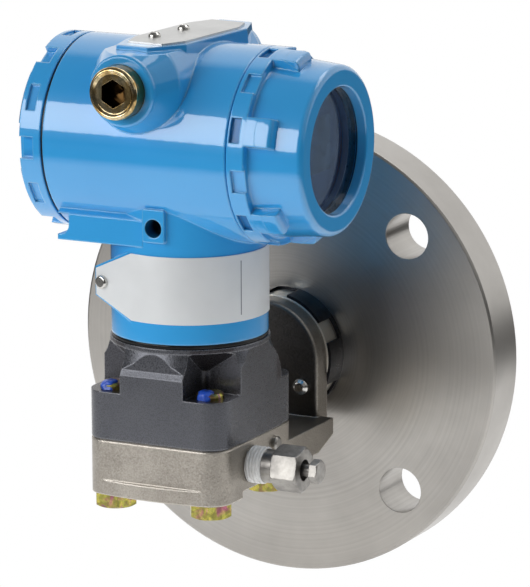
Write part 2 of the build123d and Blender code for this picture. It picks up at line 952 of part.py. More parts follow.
def neck_label_screw():
    """Domed screw that holds the label's tip."""
    plane = label_screw_plane()
    base = plane.offset(slip + label_thickness)
    head = extrude(base * Circle(label_screw_head / 2), amount=label_screw_head_height)
    top = head.faces().sort_by(lambda face: face.center().Y)[0]
    head = fillet(top.edges(), label_screw_head_height * 0.6)
    shank = extrude(base * Circle(label_screw_shank / 2), amount=-(slip + label_thickness + label_screw_depth))
    return head + shank


def label_pad():
    """Solid wedge between the neck and the flat part of the label."""
    angle = math.radians(-label_angle)
    face = neck_radius - label_pad_inset

    def at(along, depth=0.0):
        x = (face - depth) * math.sin(angle) - along * math.cos(angle)
        y = module_y - (face - depth) * math.cos(angle) - along * math.sin(angle)
        return (x, y)

    tail = label_pad_length + label_margin
    wedge = outline([at(0), at(tail), at(tail, 3.0), at(neck_radius * 0.6, neck_radius * 0.8),
                     at(0, neck_radius * 0.5)])
    low = label_pad_bottom - label_margin
    high = label_pad_bottom + label_height + label_margin
    body = slab_z(wedge, low, high)
    return body & slab_y(label_side(label_margin), module_y - 2 * neck_radius, module_y)


def rail():
    """Rail under the terminal side of the barrel, with its notched left end."""
    face_top = rail_bottom + rail_face_height
    low = module_y - rail_half_depth
    high = module_y + rail_half_depth
    bevel_top = face_top + rail_bevel_height
    section = outline([
        (low, rail_bottom),
        (low, face_top),
        (low + rail_bevel_depth, bevel_top),
        (module_y, barrel_axis_z),
        (high - rail_bevel_depth, bevel_top),
        (high, face_top),
        (high, rail_bottom),
    ])
    body = slab_x(section, rail_left, conduit_x)
    notch_low = rail_bottom + rail_lip
    notch = outline([
        (rail_left - 1, notch_low),
        (rail_left + rail_notch_depth, notch_low),
        (rail_left + rail_notch_depth, notch_low + rail_notch_height),
        (rail_left - 1, notch_low + rail_notch_height),
    ], [0, rail_notch_depth * 0.8, 0, 0])
    return body - slab_y(notch, low - 1, high + 1)


def square_boss():
    """Square boss with a round hole, at the right end of the rail."""
    low = module_y - rail_half_depth - boss_stand
    bottom = rail_bottom + 2.6
    face = Pos(boss_x, bottom + boss_height / 2) * RectangleRounded(boss_width, boss_height, 0.9)
    return slab_y(face, low, module_y - rail_half_depth + 12)


def conduit_boss(face_sign):
    """Conduit boss with its wider saddle, front (-1) or rear (1)."""
    end = module_y + face_sign * conduit_reach
    inward = -face_sign
    start = end + inward * saddle_start
    flare = start + inward * saddle_run
    inner = module_y + face_sign * conduit_root
    boss = turned_y([
        (end, 0),
        (end, conduit_radius - 0.8),
        (end + inward * 0.8, conduit_radius),
        (inner, conduit_radius),
        (inner, 0),
    ], conduit_x, conduit_z, [0, 0.4, 0.4, 0, 0])
    saddle = turned_y([
        (start, 0),
        (start, conduit_radius - 2),
        (start, conduit_radius),
        (flare, saddle_radius),
        (inner, saddle_radius),
        (inner, 0),
    ], conduit_x, conduit_z, [0, 0, 0, 4, 0, 0])
    wide = 2 * barrel_radius
    keep = block(-wide, wide, min(start, inner), max(start, inner),
                 barrel_axis_z - barrel_radius / 2, roof_z - saddle_drop)
    return boss + (saddle & keep)


def roof():
    """Raised roof with cut corners that carries the plate."""
    top = octagon(roof_width, roof_length, roof_front_width, roof_corner_run, roof_front_shift)
    grow = 2 * roof_slope
    low = octagon(roof_width + grow, roof_length + grow, roof_front_width + grow, roof_corner_run,
                  roof_front_shift)
    place = Pos(roof_centre_x, roof_centre_y) * Rot(0, 0, roof_turn)
    upper = Plane.XY.offset(roof_z) * (place * top)
    lower = Plane.XY.offset(barrel_axis_z + roof_root) * (place * low)
    return loft([lower, upper])


def housing():
    """Two-compartment housing with a central wall, neck, rail, roof and conduit bosses."""
    barrel = turned_x([
        (barrel_left, 0),
        (barrel_left, barrel_radius - 0.4),
        (barrel_left + 0.4, barrel_radius),
        (barrel_right - 0.4, barrel_radius),
        (barrel_right, barrel_radius - 0.4),
        (barrel_right, 0),
    ], module_y, barrel_axis_z)
    neck = rod_z(0, module_y, neck_radius, neck_bottom, barrel_axis_z)
    body = barrel + neck
    body += rail()
    body += square_boss()
    body += label_pad()
    body += roof()
    body += conduit_boss(-1)
    body += conduit_boss(1)
    for cutter in housing_bores():
        body -= cutter
    body += standoffs()
    body += ground_boss()
    for cutter in housing_screw_holes():
        body -= cutter
    return body


def housing_bores():
    """Cutters for the compartments, threads, neck bore and conduits."""
    axis = (module_y, barrel_axis_z)
    thread = cover_thread_depth
    neck_bore_top = module_top + spigot_height + 1
    cutters = [
        rod_x(*axis, cavity_radius, barrel_left - 1, midwall_left),
        rod_x(*axis, cavity_radius, midwall_right, barrel_right + 1),
        rod_x(*axis, cover_thread_radius, barrel_left - 1, barrel_left + thread),
        rod_x(*axis, cover_thread_radius, barrel_right - thread, barrel_right + 1),
        rod_z(0, module_y, spigot_diameter / 2 + slip, neck_bottom - 1, neck_bore_top),
        rod_z(passage_x, module_y, passage_diameter / 2, neck_bore_top - 1, barrel_axis_z - passage_drop),
    ]
    chord = math.sqrt(cavity_radius ** 2 - (conduit_z - barrel_axis_z) ** 2)
    for sign in (-1, 1):
        mouth = module_y + sign * (conduit_reach + 1)
        inner = module_y + sign * (chord - 4)
        low = min(mouth, inner)
        high = max(mouth, inner)
        cutters.append(rod_y(conduit_x, conduit_z, conduit_passage / 2, low, high))
    thread_end = conduit_rear - conduit_thread_depth
    cutters.append(rod_y(conduit_x, conduit_z, conduit_bore / 2, thread_end, conduit_rear + 1))
    seat = conduit_front + conduit_thread_depth
    cutters.append(rod_y(conduit_x, conduit_z, plug_diameter / 2 + slip, conduit_front - 1, seat))
    return cutters


def housing_screw_holes():
    """Cutters for the small screws, the buttons and the square boss's hole."""
    hole_front = module_y - rail_half_depth - boss_stand
    cutters = [
        rod_y(boss_x, rail_bottom + boss_hole_rise, boss_hole_diameter / 2,
              hole_front - 1, hole_front + boss_hole_depth),
        label_screw_bore(label_screw_shank / 2 + slip),
        rod_y(0, set_screw_height, set_screw_diameter / 2 + slip,
              module_y + spigot_diameter / 2, module_y + neck_radius + 1),
        rod_z(ground_screw_x, module_y, terminal_screw_shank / 2 + slip,
              barrel_axis_z - cavity_radius - 1, barrel_axis_z - ground_screw_drop + 1),
    ]
    for x, y in nameplate_screw_places():
        low = roof_z - nameplate_screw_depth - 0.3
        cutters.append(rod_z(x, y, nameplate_screw_shank / 2 + slip, low, roof_z + 1))
    for end in (-1, 1):
        x, y = on_roof(button_x, end * button_spacing / 2)
        low = roof_z - button_well_depth
        cutters.append(rod_z(x, y, button_diameter / 2 + slip, low, roof_z + 1))
    for y, z in standoff_places():
        low = board_back - board_screw_depth
        cutters.append(rod_x(y, z, board_screw_shank / 2 + slip, low, board_back + 1))
    return cutters


def standoff_places():
    """Where the board's standoffs stand, as Y and Z."""
    spots = []
    for degrees in (30, 150, 270):
        angle = math.radians(degrees)
        radius = standoff_circle / 2
        spots.append((module_y + radius * math.cos(angle), barrel_axis_z + radius * math.sin(angle)))
    return spots


def standoffs():
    """Posts on the central wall that carry the board."""
    posts = [rod_x(y, z, standoff_diameter / 2, midwall_right - 1, board_back)
             for y, z in standoff_places()]
    return posts[0] + posts[1] + posts[2]


def ground_boss():
    """Boss in the terminal compartment for the earth screw."""
    low = barrel_axis_z - cavity_radius - 1
    return rod_z(ground_screw_x, module_y, ground_boss_diameter / 2, low,
                 barrel_axis_z - ground_screw_drop)


def rotation_set_screw():
    """Screw at the back of the neck that locks the housing on the spigot."""
    start = module_y + spigot_diameter / 2 + 0.3
    body = rod_y(0, set_screw_height, set_screw_diameter / 2, start, start + set_screw_length)
    socket = Pos(0, set_screw_height) * RegularPolygon(1.2, 6, major_radius=False)
    return body - slab_y(socket, start + set_screw_length - 2.5, start + set_screw_length + 1)


def conduit_plug():
    """Pipe plug with a rounded rim and a hexagon socket."""
    outer = conduit_front - plug_stand
    radius = plug_diameter / 2
    body = turned_y([
        (outer, 0),
        (outer, radius - plug_rim),
        (outer + plug_rim, radius),
        (conduit_front + conduit_thread_depth - 0.3, radius),
        (conduit_front + conduit_thread_depth - 0.3, 0),
    ], conduit_x, conduit_z, [0, plug_rim * 0.7, plug_rim * 0.7, 0, 0])
    hexagon = Rot(0, 0, 30) * RegularPolygon(plug_socket_flats / 2, 6, major_radius=False)
    socket = Pos(conduit_x, conduit_z) * hexagon
    return body - slab_y(socket, outer - 1, outer + plug_socket_depth)


def nameplate_screw_places():
    """Plan positions of the roof plate's two screws."""
    spots = []
    for end in (-1, 1):
        along = nameplate_screw_y + end * nameplate_screw_spacing / 2
        spots.append(on_roof(nameplate_screw_x, along))
    return spots


def nameplate():
    """Plate on the roof with cut corners and two screw holes."""
    plan = octagon(plate_width, plate_length, plate_front_width, plate_corner_run)
    place = Pos(roof_centre_x, roof_centre_y) * Rot(0, 0, roof_turn)
    body = slab_z(place * plan, nameplate_bottom, nameplate_bottom + nameplate_thickness)
    for x, y in nameplate_screw_places():
        body -= rod_z(x, y, nameplate_screw_shank / 2 + slip, roof_z - 1, roof_z + 3)
    return body


def nameplate_screws():
    """Two domed screws that hold the roof plate."""
    screws = []
    base = nameplate_bottom + nameplate_thickness
    radius = nameplate_screw_head / 2
    for x, y in nameplate_screw_places():
        head = turned_z([
            (0, base),
            (radius, base),
            (radius, base + nameplate_screw_head_height * 0.45),
            (radius * 0.6, base + nameplate_screw_head_height),
            (0, base + nameplate_screw_head_height),
        ], x, y, [0, 0, radius * 0.3, radius * 0.3, 0])
        slot = block(x - radius, x + radius, y - 0.4, y + 0.4,
                     base + nameplate_screw_head_height * 0.55, base + 5)
        shank = rod_z(x, y, nameplate_screw_shank / 2, roof_z - nameplate_screw_depth, base)
        screws.append(head - slot + shank)
    return Compound(screws)


def push_button(end):
    """Spring-return button in its well under the roof plate, at one end (-1 or 1)."""
    x, y = on_roof(button_x, end * button_spacing / 2)
    top = roof_z - 0.4
    return rod_z(x, y, button_diameter / 2, top - button_height, top)


# Covers


def cover_lug():
    """Wrench lug at angle 0 on the window cover, flush with the ring, with a ramp."""
    start = meter_cover_start + 0.4
    end = meter_cover_start + lug_length
    root = drum_radius - 4
    side = Plane(origin=(0, -lug_width / 2, 0), x_dir=(1, 0, 0), z_dir=(0, 1, 0))
    profile = outline([
        (start, -root),
        (start, -cover_radius),
        (end, -cover_radius),
        (end + lug_ramp, -drum_radius + 0.6),
        (end + lug_ramp, -root),
    ])
    lug = Rotation(-90, 0, 0) * extrude(side * profile, amount=lug_width)
    return lug & rod_x(0, 0, cover_radius - slip, start, end + lug_ramp)


def radial_cutter(x_low, x_high, width, floor_radius):
    """Box cutter at angle 0 that leaves a floor at the given radius."""
    return block(x_low, x_high, floor_radius, cover_radius + 5, -width / 2, width / 2)


def meter_cover():
    """Screwed cover with lugs, tapered drum and window opening."""
    ring_end = meter_cover_start + cover_band
    seat = glass_radius + slip
    chamber = glass_back - retainer_height - window_gasket_wall
    body = turned_x([
        (meter_cover_start - skirt_length, skirt_bore),
        (meter_cover_start - skirt_length, skirt_radius),
        (meter_cover_start, skirt_radius),
        (meter_cover_start, cover_radius),
        (ring_end, cover_radius),
        (ring_end, drum_radius),
        (meter_cover_end, drum_front_radius),
        (meter_cover_end, window_radius),
        (glass_front, window_radius),
        (glass_front, seat),
        (chamber, seat),
        (chamber, skirt_bore),
    ], module_y, barrel_axis_z, [0, 0, 0, 0.5, 0.5, 0.8, drum_nose, 0.8, 0, 0, 0, 0])
    for lug in barrel_copies(cover_lug(), lug_count, lug_first_angle):
        body += lug
    body -= rod_x(module_y, barrel_axis_z, skirt_bore,
                  meter_cover_start - skirt_length - 1, chamber)
    recess_start = meter_cover_start + 1.0
    recess = radial_cutter(recess_start, recess_start + lug_recess_length,
                           lug_recess_width, cover_radius - lug_recess_depth)
    for cutter in barrel_copies(recess, lug_count, lug_first_angle):
        body -= cutter
    notch = radial_cutter(meter_cover_start + notch_start, ring_end + 1,
                          notch_width, cover_radius - notch_depth)
    half_step = 180 / lug_count
    for cutter in barrel_copies(notch, lug_count, lug_first_angle + half_step):
        body -= cutter
    groove_start = meter_cover_start - seal_groove_width - 0.6
    groove = turned_x([
        (groove_start, skirt_radius - seal_groove_depth),
        (groove_start, skirt_radius + 1),
        (groove_start + seal_groove_width, skirt_radius + 1),
        (groove_start + seal_groove_width, skirt_radius - seal_groove_depth),
    ], module_y, barrel_axis_z)
    return body - groove


def meter_cover_seal():
    """Ring in the groove of the window cover's skirt."""
    inner = skirt_radius - seal_groove_depth
    outer = cover_thread_radius - slip
    start = meter_cover_start - seal_groove_width - 0.6 + 0.05
    end = start + seal_groove_width - 0.1
    return turned_x([
        (start, inner),
        (start, outer - 0.6),
        (start + 0.6, outer),
        (end - 0.6, outer),
        (end, outer - 0.6),
        (end, inner),
    ], module_y, barrel_axis_z)


def window_glass():
    """Thick toughened pane."""
    return turned_x([
        (glass_back, 0),
        (glass_back, glass_radius - 0.5),
        (glass_back + 0.5, glass_radius),
        (glass_front - 0.5, glass_radius),
        (glass_front, glass_radius - 0.5),
        (glass_front, 0),
    ], module_y, barrel_axis_z)


def window_gasket():
    """Flat ring behind the pane."""
    ring = rod_x(module_y, barrel_axis_z, glass_radius, glass_back - window_gasket_wall, glass_back)
    return ring - rod_x(module_y, barrel_axis_z, glass_radius - retainer_wall, glass_back - 5, glass_back + 1)


def window_retainer():
    """Screwed ring that presses the pane into its seat."""
    end = glass_back - window_gasket_wall
    start = end - retainer_height
    ring = rod_x(module_y, barrel_axis_z, glass_radius, start, end)
    return ring - rod_x(module_y, barrel_axis_z, glass_radius - retainer_wall, start - 1, end + 1)


def terminal_cover():
    """Screwed blind cover: plain band, then a rim with gaps and pockets, and a flat face."""
    band_end = blind_start - blind_band
    skirt_end = blind_start + skirt_length
    body = turned_x([
        (skirt_end, skirt_bore),
        (skirt_end, skirt_radius),
        (blind_start, skirt_radius),
        (blind_start, cover_radius),
        (blind_end + 2.2, cover_radius),
        (blind_end + 0.6, cover_radius - 2.4),
        (blind_end, blind_face_radius),
        (blind_end, 0),
        (blind_end + blind_floor, 0),
        (blind_end + blind_floor, skirt_bore),
    ], module_y, barrel_axis_z, [0, 0, 0, 0.4, 0.6, 0.5, 0, 0, 0, 3])
    gap_width = 2 * cover_radius * math.sin(math.radians(blind_gap_angle / 2))
    gap = radial_cutter(blind_end - 1, band_end, gap_width, cover_radius - blind_gap_depth)
    for cutter in barrel_copies(gap, lug_count, blind_first_gap):
        body -= cutter
    step_width = 2 * cover_radius * math.sin(math.radians(blind_step_angle / 2))
    step = radial_cutter(blind_end - 1, blind_end + blind_step, step_width, blind_face_radius + 0.5)
    for cutter in barrel_copies(step, lug_count, blind_first_gap):
        body -= cutter
    pocket = radial_cutter(band_end - blind_pocket_length, band_end,
                           blind_pocket_width, cover_radius - blind_pocket_depth)
    half_step = 180 / lug_count
    for cutter in barrel_copies(pocket, lug_count, blind_first_gap + half_step):
        body -= cutter
    return body


def terminal_cover_seal():
    """Ring between the barrel and the blind cover; its edge shows as a dark line."""
    return turned_x([
        (blind_start, skirt_radius + slip),
        (blind_start, cover_radius - 0.9),
        (barrel_left - slip, cover_radius - 0.9),
        (barrel_left - slip, skirt_radius + slip),
    ], module_y, barrel_axis_z)


# Electronics


def electronics_board():
    """Round board with a few flat components."""
    axis = (module_y, barrel_axis_z)
    body = rod_x(*axis, board_radius, board_back, board_front)
    for y, z in standoff_places():
        body -= rod_x(y, z, board_screw_shank / 2 + slip, board_back - 1, board_front + 1)
    chips = [(-8, 8, 12, 9), (9, 6, 8, 8), (0, -9, 14, 7)]
    for y, z, width, height in chips:
        body += block(board_front, board_front + chip_height,
                      module_y + y - width / 2, module_y + y + width / 2,
                      barrel_axis_z + z - height / 2, barrel_axis_z + z + height / 2)
    return body


def board_screws():
    """Three screws into the standoffs."""
    screws = []
    for y, z in standoff_places():
        head = rod_x(y, z, board_screw_head / 2, board_front, board_front + board_screw_head_height)
        shank = rod_x(y, z, board_screw_shank / 2, board_back - board_screw_depth + 0.5, board_front)
        screws.append(head + shank)
    return Compound(screws)


def display_module():
    """Plug-in meter: two legs on the board, round case and a recessed face."""
    axis = (module_y, barrel_axis_z)
    body = rod_x(*axis, display_radius, display_back, display_front)
    body -= rod_x(*axis, display_radius - display_rim, display_front - display_recess, display_front + 1)
    pane_seat = Pos(*axis) * Rectangle(display_pane_width + 2 * slip, display_pane_height + 2 * slip)
    seat_back = display_front - display_recess - display_pane_thickness
    body -= slab_x(pane_seat, seat_back, display_front + 1)
    for side_sign in (-1, 1):
        y = module_y + side_sign * display_leg_spacing / 2
        body += rod_x(y, barrel_axis_z, display_leg_diameter / 2, board_front, display_back + 1)
    return body


def display_glass():
    """Flat pane of the meter."""
    pane = Pos(module_y, barrel_axis_z) * Rectangle(display_pane_width, display_pane_height)
    back = display_front - display_recess - display_pane_thickness
    return slab_x(pane, back, back + display_pane_thickness)


def terminal_places():
    """Terminal centres on the block's face, as Y and Z."""
    spots = []
    for index in range(terminal_count):
        y = module_y + (index - (terminal_count - 1) / 2) * terminal_spacing
        spots.append((y, barrel_axis_z))
    return spots


def terminal_block():
    """Moulded block with barriers between its terminals, flat on top."""
    axis = (module_y, barrel_axis_z)
    disc = Pos(*axis) * Circle(block_radius)
    cut = Pos(module_y, barrel_axis_z + block_flat_height + block_radius) * Rectangle(
        3 * block_radius, 2 * block_radius)
    body = slab_x(disc - cut, block_front, block_back)
    for index in range(terminal_count + 1):
        y = module_y + (index - terminal_count / 2) * terminal_spacing
        body += block(block_front - barrier_height, block_front,
                      y - barrier_thickness / 2, y + barrier_thickness / 2,
                      barrel_axis_z - 8, barrel_axis_z + 8)
    for y, z in terminal_places():
        body -= rod_x(y, z, terminal_screw_shank / 2 + slip,
                      block_front - 1, block_front + terminal_screw_depth)
    return body


def terminal_screws():
    """Wiring screws on the block."""
    screws = []
    for y, z in terminal_places():
        head = rod_x(y, z, terminal_screw_head / 2,
                     block_front - terminal_screw_head_height, block_front)
        slot = block(block_front - terminal_screw_head_height - 1, block_front - 1.6,
                     y - 0.5, y + 0.5, z - terminal_screw_head, z + terminal_screw_head)
        shank = rod_x(y, z, terminal_screw_shank / 2, block_front,
                      block_front + terminal_screw_depth - 0.5)
        screws.append(head - slot + shank)
    return Compound(screws)


def ground_screw():
    """Earth screw on its boss in the terminal compartment."""
    base = barrel_axis_z - ground_screw_drop
    head = rod_z(ground_screw_x, module_y, terminal_screw_head / 2, base,
                 base + terminal_screw_head_height)
    shank = rod_z(ground_screw_x, module_y, terminal_screw_shank / 2,
                  barrel_axis_z - cavity_radius - 0.5, base)
    return head + shank


nodes = {
    "mounting_flange": mounting_flange(),
    "process_diaphragm": process_diaphragm(),
    "process_hub": process_hub(),
    "hub_band": hub_band(),
    "process_flange": process_flange(),
    "hub_screws": hub_screws(),
    "flange_bolts": flange_bolts(),
    "bolt_marks": bolt_marks(),
    "sensor_module": sensor_module(),
    "isolator_diaphragms": isolator_diaphragms(),
    "process_gaskets": process_gaskets(),
    "vent_body": vent_body(),
    "vent_tape": vent_tape(),
    "vent_ball": vent_ball(),
    "vent_stem": vent_stem(),
    "side_plug": side_plug(),
    "neck_seal": neck_seal(),
    "housing": housing(),
    "rotation_set_screw": rotation_set_screw(),
    "conduit_plug": conduit_plug(),
    "neck_label": neck_label(),
    "neck_label_screw": neck_label_screw(),
    "nameplate": nameplate(),
    "nameplate_screws": nameplate_screws(),
    "zero_button": push_button(-1),
    "span_button": push_button(1),
    "meter_cover": meter_cover(),
    "meter_cover_seal": meter_cover_seal(),
    "window_glass": window_glass(),
    "window_gasket": window_gasket(),
    "window_retainer": window_retainer(),
    "terminal_cover": terminal_cover(),
    "terminal_cover_seal": terminal_cover_seal(),
    "electronics_board": electronics_board(),
    "board_screws": board_screws(),
    "display_module": display_module(),
    "display_glass": display_glass(),
    "terminal_block": terminal_block(),
    "terminal_screws": terminal_screws(),
    "ground_screw": ground_screw(),
}

os.makedirs("parts", exist_ok=True)
for name, shape in nodes.items():
    export_step(shape, os.path.join("parts", name + ".step"))
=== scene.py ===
import math

import bmesh
import bpy
from mathutils import Matrix, Vector, noise


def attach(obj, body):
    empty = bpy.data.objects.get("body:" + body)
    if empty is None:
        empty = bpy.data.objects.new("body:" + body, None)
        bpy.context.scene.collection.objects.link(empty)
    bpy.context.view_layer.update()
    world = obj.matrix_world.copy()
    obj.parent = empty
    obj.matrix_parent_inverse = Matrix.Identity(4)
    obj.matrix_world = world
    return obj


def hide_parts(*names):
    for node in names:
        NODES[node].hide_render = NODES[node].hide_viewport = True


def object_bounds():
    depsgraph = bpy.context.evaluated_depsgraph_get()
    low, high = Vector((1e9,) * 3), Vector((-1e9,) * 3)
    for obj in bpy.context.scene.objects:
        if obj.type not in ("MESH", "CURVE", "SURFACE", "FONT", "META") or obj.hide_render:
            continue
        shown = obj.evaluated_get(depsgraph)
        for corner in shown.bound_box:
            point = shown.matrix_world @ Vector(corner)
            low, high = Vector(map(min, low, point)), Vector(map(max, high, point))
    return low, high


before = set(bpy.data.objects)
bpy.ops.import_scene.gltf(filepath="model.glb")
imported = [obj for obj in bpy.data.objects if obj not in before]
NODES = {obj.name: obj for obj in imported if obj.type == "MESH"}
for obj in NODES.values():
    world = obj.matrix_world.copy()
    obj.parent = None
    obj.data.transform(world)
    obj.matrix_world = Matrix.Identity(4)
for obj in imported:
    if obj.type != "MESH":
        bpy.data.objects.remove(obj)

CAD_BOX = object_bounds()
MM = 0.001

# Sizes shared with the solids, in millimetres
MODULE_Y = -110.0
BARREL_Z = 103.6
CONDUIT_X = -4.35
CONDUIT_Z = 129.3
PLUG_RADIUS = 10.5
PLUG_FACE = -164.9
PLUG_END = -141.9
SOCKET_FLATS = 10.0
SOCKET_DEPTH = 9.0
THREAD_PITCH = 1.8
BODY_SIDE = 30.7
VENT_Y = -116.7
VENT_Z = -24.5
TAPE_LENGTH = 7.0
TAPE_RADIUS = 7.7
BOLT_X = 21.3
BOLT_Y = 24.2
POCKET_FLOOR = 5.2
BOLT_END = 7.8
POCKET_X = 14.0
POCKET_Y = 15.2
LUG_COUNT = 6
LUG_ANGLE = 161.8
LUG_HALF = 5.7
LUG_TOP = 38.95
LUG_END = 47.9
RECESS = (37.2, 41.8)
RECESS_TOP = 38.3
LUG_ROUNDING = [(51.0, 38.82), (53.4, 38.66), (54.0, 38.55), (54.5, 38.1),
                (54.9, 37.1), (55.1, 35.6), (55.2, 33.9)]
LUG_FOOT = 32.0
EARTH_X = 1.2
EARTH_Z = 73.0
EARTH_RADIUS = 3.7
EARTH_FACE = -138.3
EARTH_BACK = -120.0
HUB_STEP = (-72.0, -52.0)

# Sizes of the detail pieces, in millimetres
LAND_WIDTH = 1.3
THREAD_DEPTH = 0.95
FACE_STEPS = [(10.2, 0.75), (9.75, 0.22), (9.2, 0.0), (8.9, 0.04),
              (8.3, 0.50), (7.9, 0.86), (7.7, 0.90), (6.7, 0.92)]
SOCKET_MOUTH = 0.94
TAPE_CORE = 6.85
TAPE_TURN = 1.35
TAPE_LAP = 3.1
DAB_RADIUS = 3.7
DAB_SHIFTS = ((-0.6, -2.4), (-1.6, 2.0), (-0.4, -2.5), (2.2, 0.9))

# The label's dividing line: angle round the neck, half its width as an angle, and its ends in metres
LINE_ANGLE = 1.17
LINE_HALF = 0.007
LINE_LOW = 0.0372
LINE_HIGH = 0.0590

# The camera, fitted to the photograph: angles in radians, focal length in pixels, distance and shifts in
# millimetres
CAMERA_TURN = 0.46732
CAMERA_TILT = 0.21857
CAMERA_ROLL = -0.004
CAMERA_PIXELS = 4428.3
CAMERA_DISTANCE = 1869.9
CAMERA_SIDE = 19.715
CAMERA_TOP = -18.004
PHOTO_HEIGHT = 587.0
SENSOR = 36.0


# Camera

def make_camera():
    """Places the camera where the photograph was taken from."""
    turn, tilt, roll = CAMERA_TURN, CAMERA_TILT, CAMERA_ROLL
    right = Vector((math.cos(turn), math.sin(turn), 0))
    forward = Vector((-math.sin(turn) * math.cos(tilt), math.cos(turn) * math.cos(tilt), -math.sin(tilt)))
    up = right.cross(forward)
    side = right * math.cos(roll) + up * math.sin(roll)
    top = up * math.cos(roll) - right * math.sin(roll)
    place = (-forward * CAMERA_DISTANCE - side * CAMERA_SIDE - top * CAMERA_TOP) * MM
    data = bpy.data.cameras.new("camera")
    data.sensor_width = SENSOR
    data.lens = SENSOR * CAMERA_PIXELS / PHOTO_HEIGHT
    data.clip_start = 0.1
    data.clip_end = 20.0
    obj = bpy.data.objects.new("camera", data)
    bpy.context.scene.collection.objects.link(obj)
    turn_matrix = Matrix((side, top, -forward)).transposed()
    obj.matrix_world = Matrix.Translation(place) @ turn_matrix.to_4x4()
    bpy.context.scene.camera = obj


# Node helpers

class Tree:
    """Short calls for building one material's nodes."""

    def __init__(self, name):
        self.material = bpy.data.materials.new(name)
        self.material.use_nodes = True
        self.nodes = self.material.node_tree.nodes
        self.links = self.material.node_tree.links
        self.nodes.clear()
        self.out = self.nodes.new("ShaderNodeOutputMaterial")
        self.shader = self.nodes.new("ShaderNodeBsdfPrincipled")
        self.links.new(self.shader.outputs[0], self.out.inputs["Surface"])
        self.coords = self.nodes.new("ShaderNodeTexCoord").outputs["Object"]

    def link(self, source, target):
        self.links.new(source, target)

    def noise(self, scale, detail=3.0, rough=0.5, vector=None, distortion=0.0):
        node = self.nodes.new("ShaderNodeTexNoise")
        node.inputs["Scale"].default_value = scale
        node.inputs["Detail"].default_value = detail
        node.inputs["Roughness"].default_value = rough
        node.inputs["Distortion"].default_value = distortion
        self.link(vector or self.coords, node.inputs["Vector"])
        return node.outputs["Fac"]

    def cells(self, scale, randomness=1.0):
        node = self.nodes.new("ShaderNodeTexVoronoi")
        node.inputs["Scale"].default_value = scale
        node.inputs["Randomness"].default_value = randomness
        self.link(self.coords, node.inputs["Vector"])
        return node.outputs["Distance"]

    def stretched(self, scale):
        node = self.nodes.new("ShaderNodeMapping")
        node.inputs["Scale"].default_value = scale
        self.link(self.coords, node.inputs["Vector"])
        return node.outputs["Vector"]

    def ramp(self, value, stops):
        node = self.nodes.new("ShaderNodeValToRGB")
        while len(node.color_ramp.elements) < len(stops):
            node.color_ramp.elements.new(0.5)
        for element, (place, colour) in zip(node.color_ramp.elements, stops):
            element.position = place
            if isinstance(colour, (int, float)):
                colour = (colour, colour, colour)
            element.color = (*colour, 1.0)
        self.link(value, node.inputs["Fac"])
        return node.outputs["Color"]

    def math(self, kind, first, second=None):
        node = self.nodes.new("ShaderNodeMath")
        node.operation = kind
        for socket, value in zip(node.inputs, (first, second)):
            if value is None:
                continue
            if isinstance(value, (int, float)):
                socket.default_value = value
            else:
                self.link(value, socket)
        return node.outputs[0]

    def times(self, first, *others):
        """Product of two or more values."""
        for other in others:
            first = self.math("MULTIPLY", first, other)
        return first

    def spread(self, value, low, high, to_low, to_high):
        node = self.nodes.new("ShaderNodeMapRange")
        node.inputs["From Min"].default_value = low
        node.inputs["From Max"].default_value = high
        node.inputs["To Min"].default_value = to_low
        node.inputs["To Max"].default_value = to_high
        self.link(value, node.inputs["Value"])
        return node.outputs["Result"]

    def mix(self, factor, first, second):
        node = self.nodes.new("ShaderNodeMix")
        node.data_type = "RGBA"
        sockets = [s for s in node.inputs if s.enabled]
        for socket, value in zip(sockets, (factor, first, second)):
            if isinstance(value, (int, float)):
                socket.default_value = value
            elif isinstance(value, tuple):
                socket.default_value = (*value, 1.0)
            else:
                self.link(value, socket)
        return [s for s in node.outputs if s.enabled][0]

    def axes(self, vector=None):
        node = self.nodes.new("ShaderNodeSeparateXYZ")
        self.link(vector or self.coords, node.inputs[0])
        return node.outputs

    def radius(self, first, second, centre_first, centre_second):
        """Distance from a line along the third axis."""
        a = self.math("SUBTRACT", first, centre_first)
        b = self.math("SUBTRACT", second, centre_second)
        return self.math("SQRT", self.math("ADD", self.times(a, a), self.times(b, b)))

    def bump(self, height, strength, distance, normal=None):
        node = self.nodes.new("ShaderNodeBump")
        node.inputs["Strength"].default_value = strength
        node.inputs["Distance"].default_value = distance
        self.link(height, node.inputs["Height"])
        if normal is not None:
            self.link(normal, node.inputs["Normal"])
        return node.outputs["Normal"]

    def soft_edges(self, radius):
        node = self.nodes.new("ShaderNodeBevel")
        node.samples = 6
        node.inputs["Radius"].default_value = radius
        return node.outputs["Normal"]

    def edge_wear_and_highlight(self, soft, low=0.012, high=0.10):
        """1 on rounded edges, 0 on flats, from how far the softened normal leans off the true one."""
        node = self.nodes.new("ShaderNodeNewGeometry")
        dot = self.nodes.new("ShaderNodeVectorMath")
        dot.operation = "DOT_PRODUCT"
        self.link(soft, dot.inputs[0])
        self.link(node.outputs["Normal"], dot.inputs[1])
        lean = self.math("SUBTRACT", 1.0, dot.outputs["Value"])
        return self.spread(lean, low, high, 0.0, 1.0)

    def set(self, **values):
        names = {"colour": "Base Color", "metallic": "Metallic", "rough": "Roughness", "ior": "IOR",
                 "coat": "Coat Weight", "coat_rough": "Coat Roughness", "coat_ior": "Coat IOR",
                 "normal": "Normal", "coat_normal": "Coat Normal", "specular": "Specular IOR Level",
                 "transmission": "Transmission Weight"}
        for key, value in values.items():
            socket = self.shader.inputs[names[key]]
            if isinstance(value, tuple):
                socket.default_value = (*value, 1.0)
            elif isinstance(value, (int, float)):
                socket.default_value = value
            else:
                self.link(value, socket)
        return self.material


# Materials

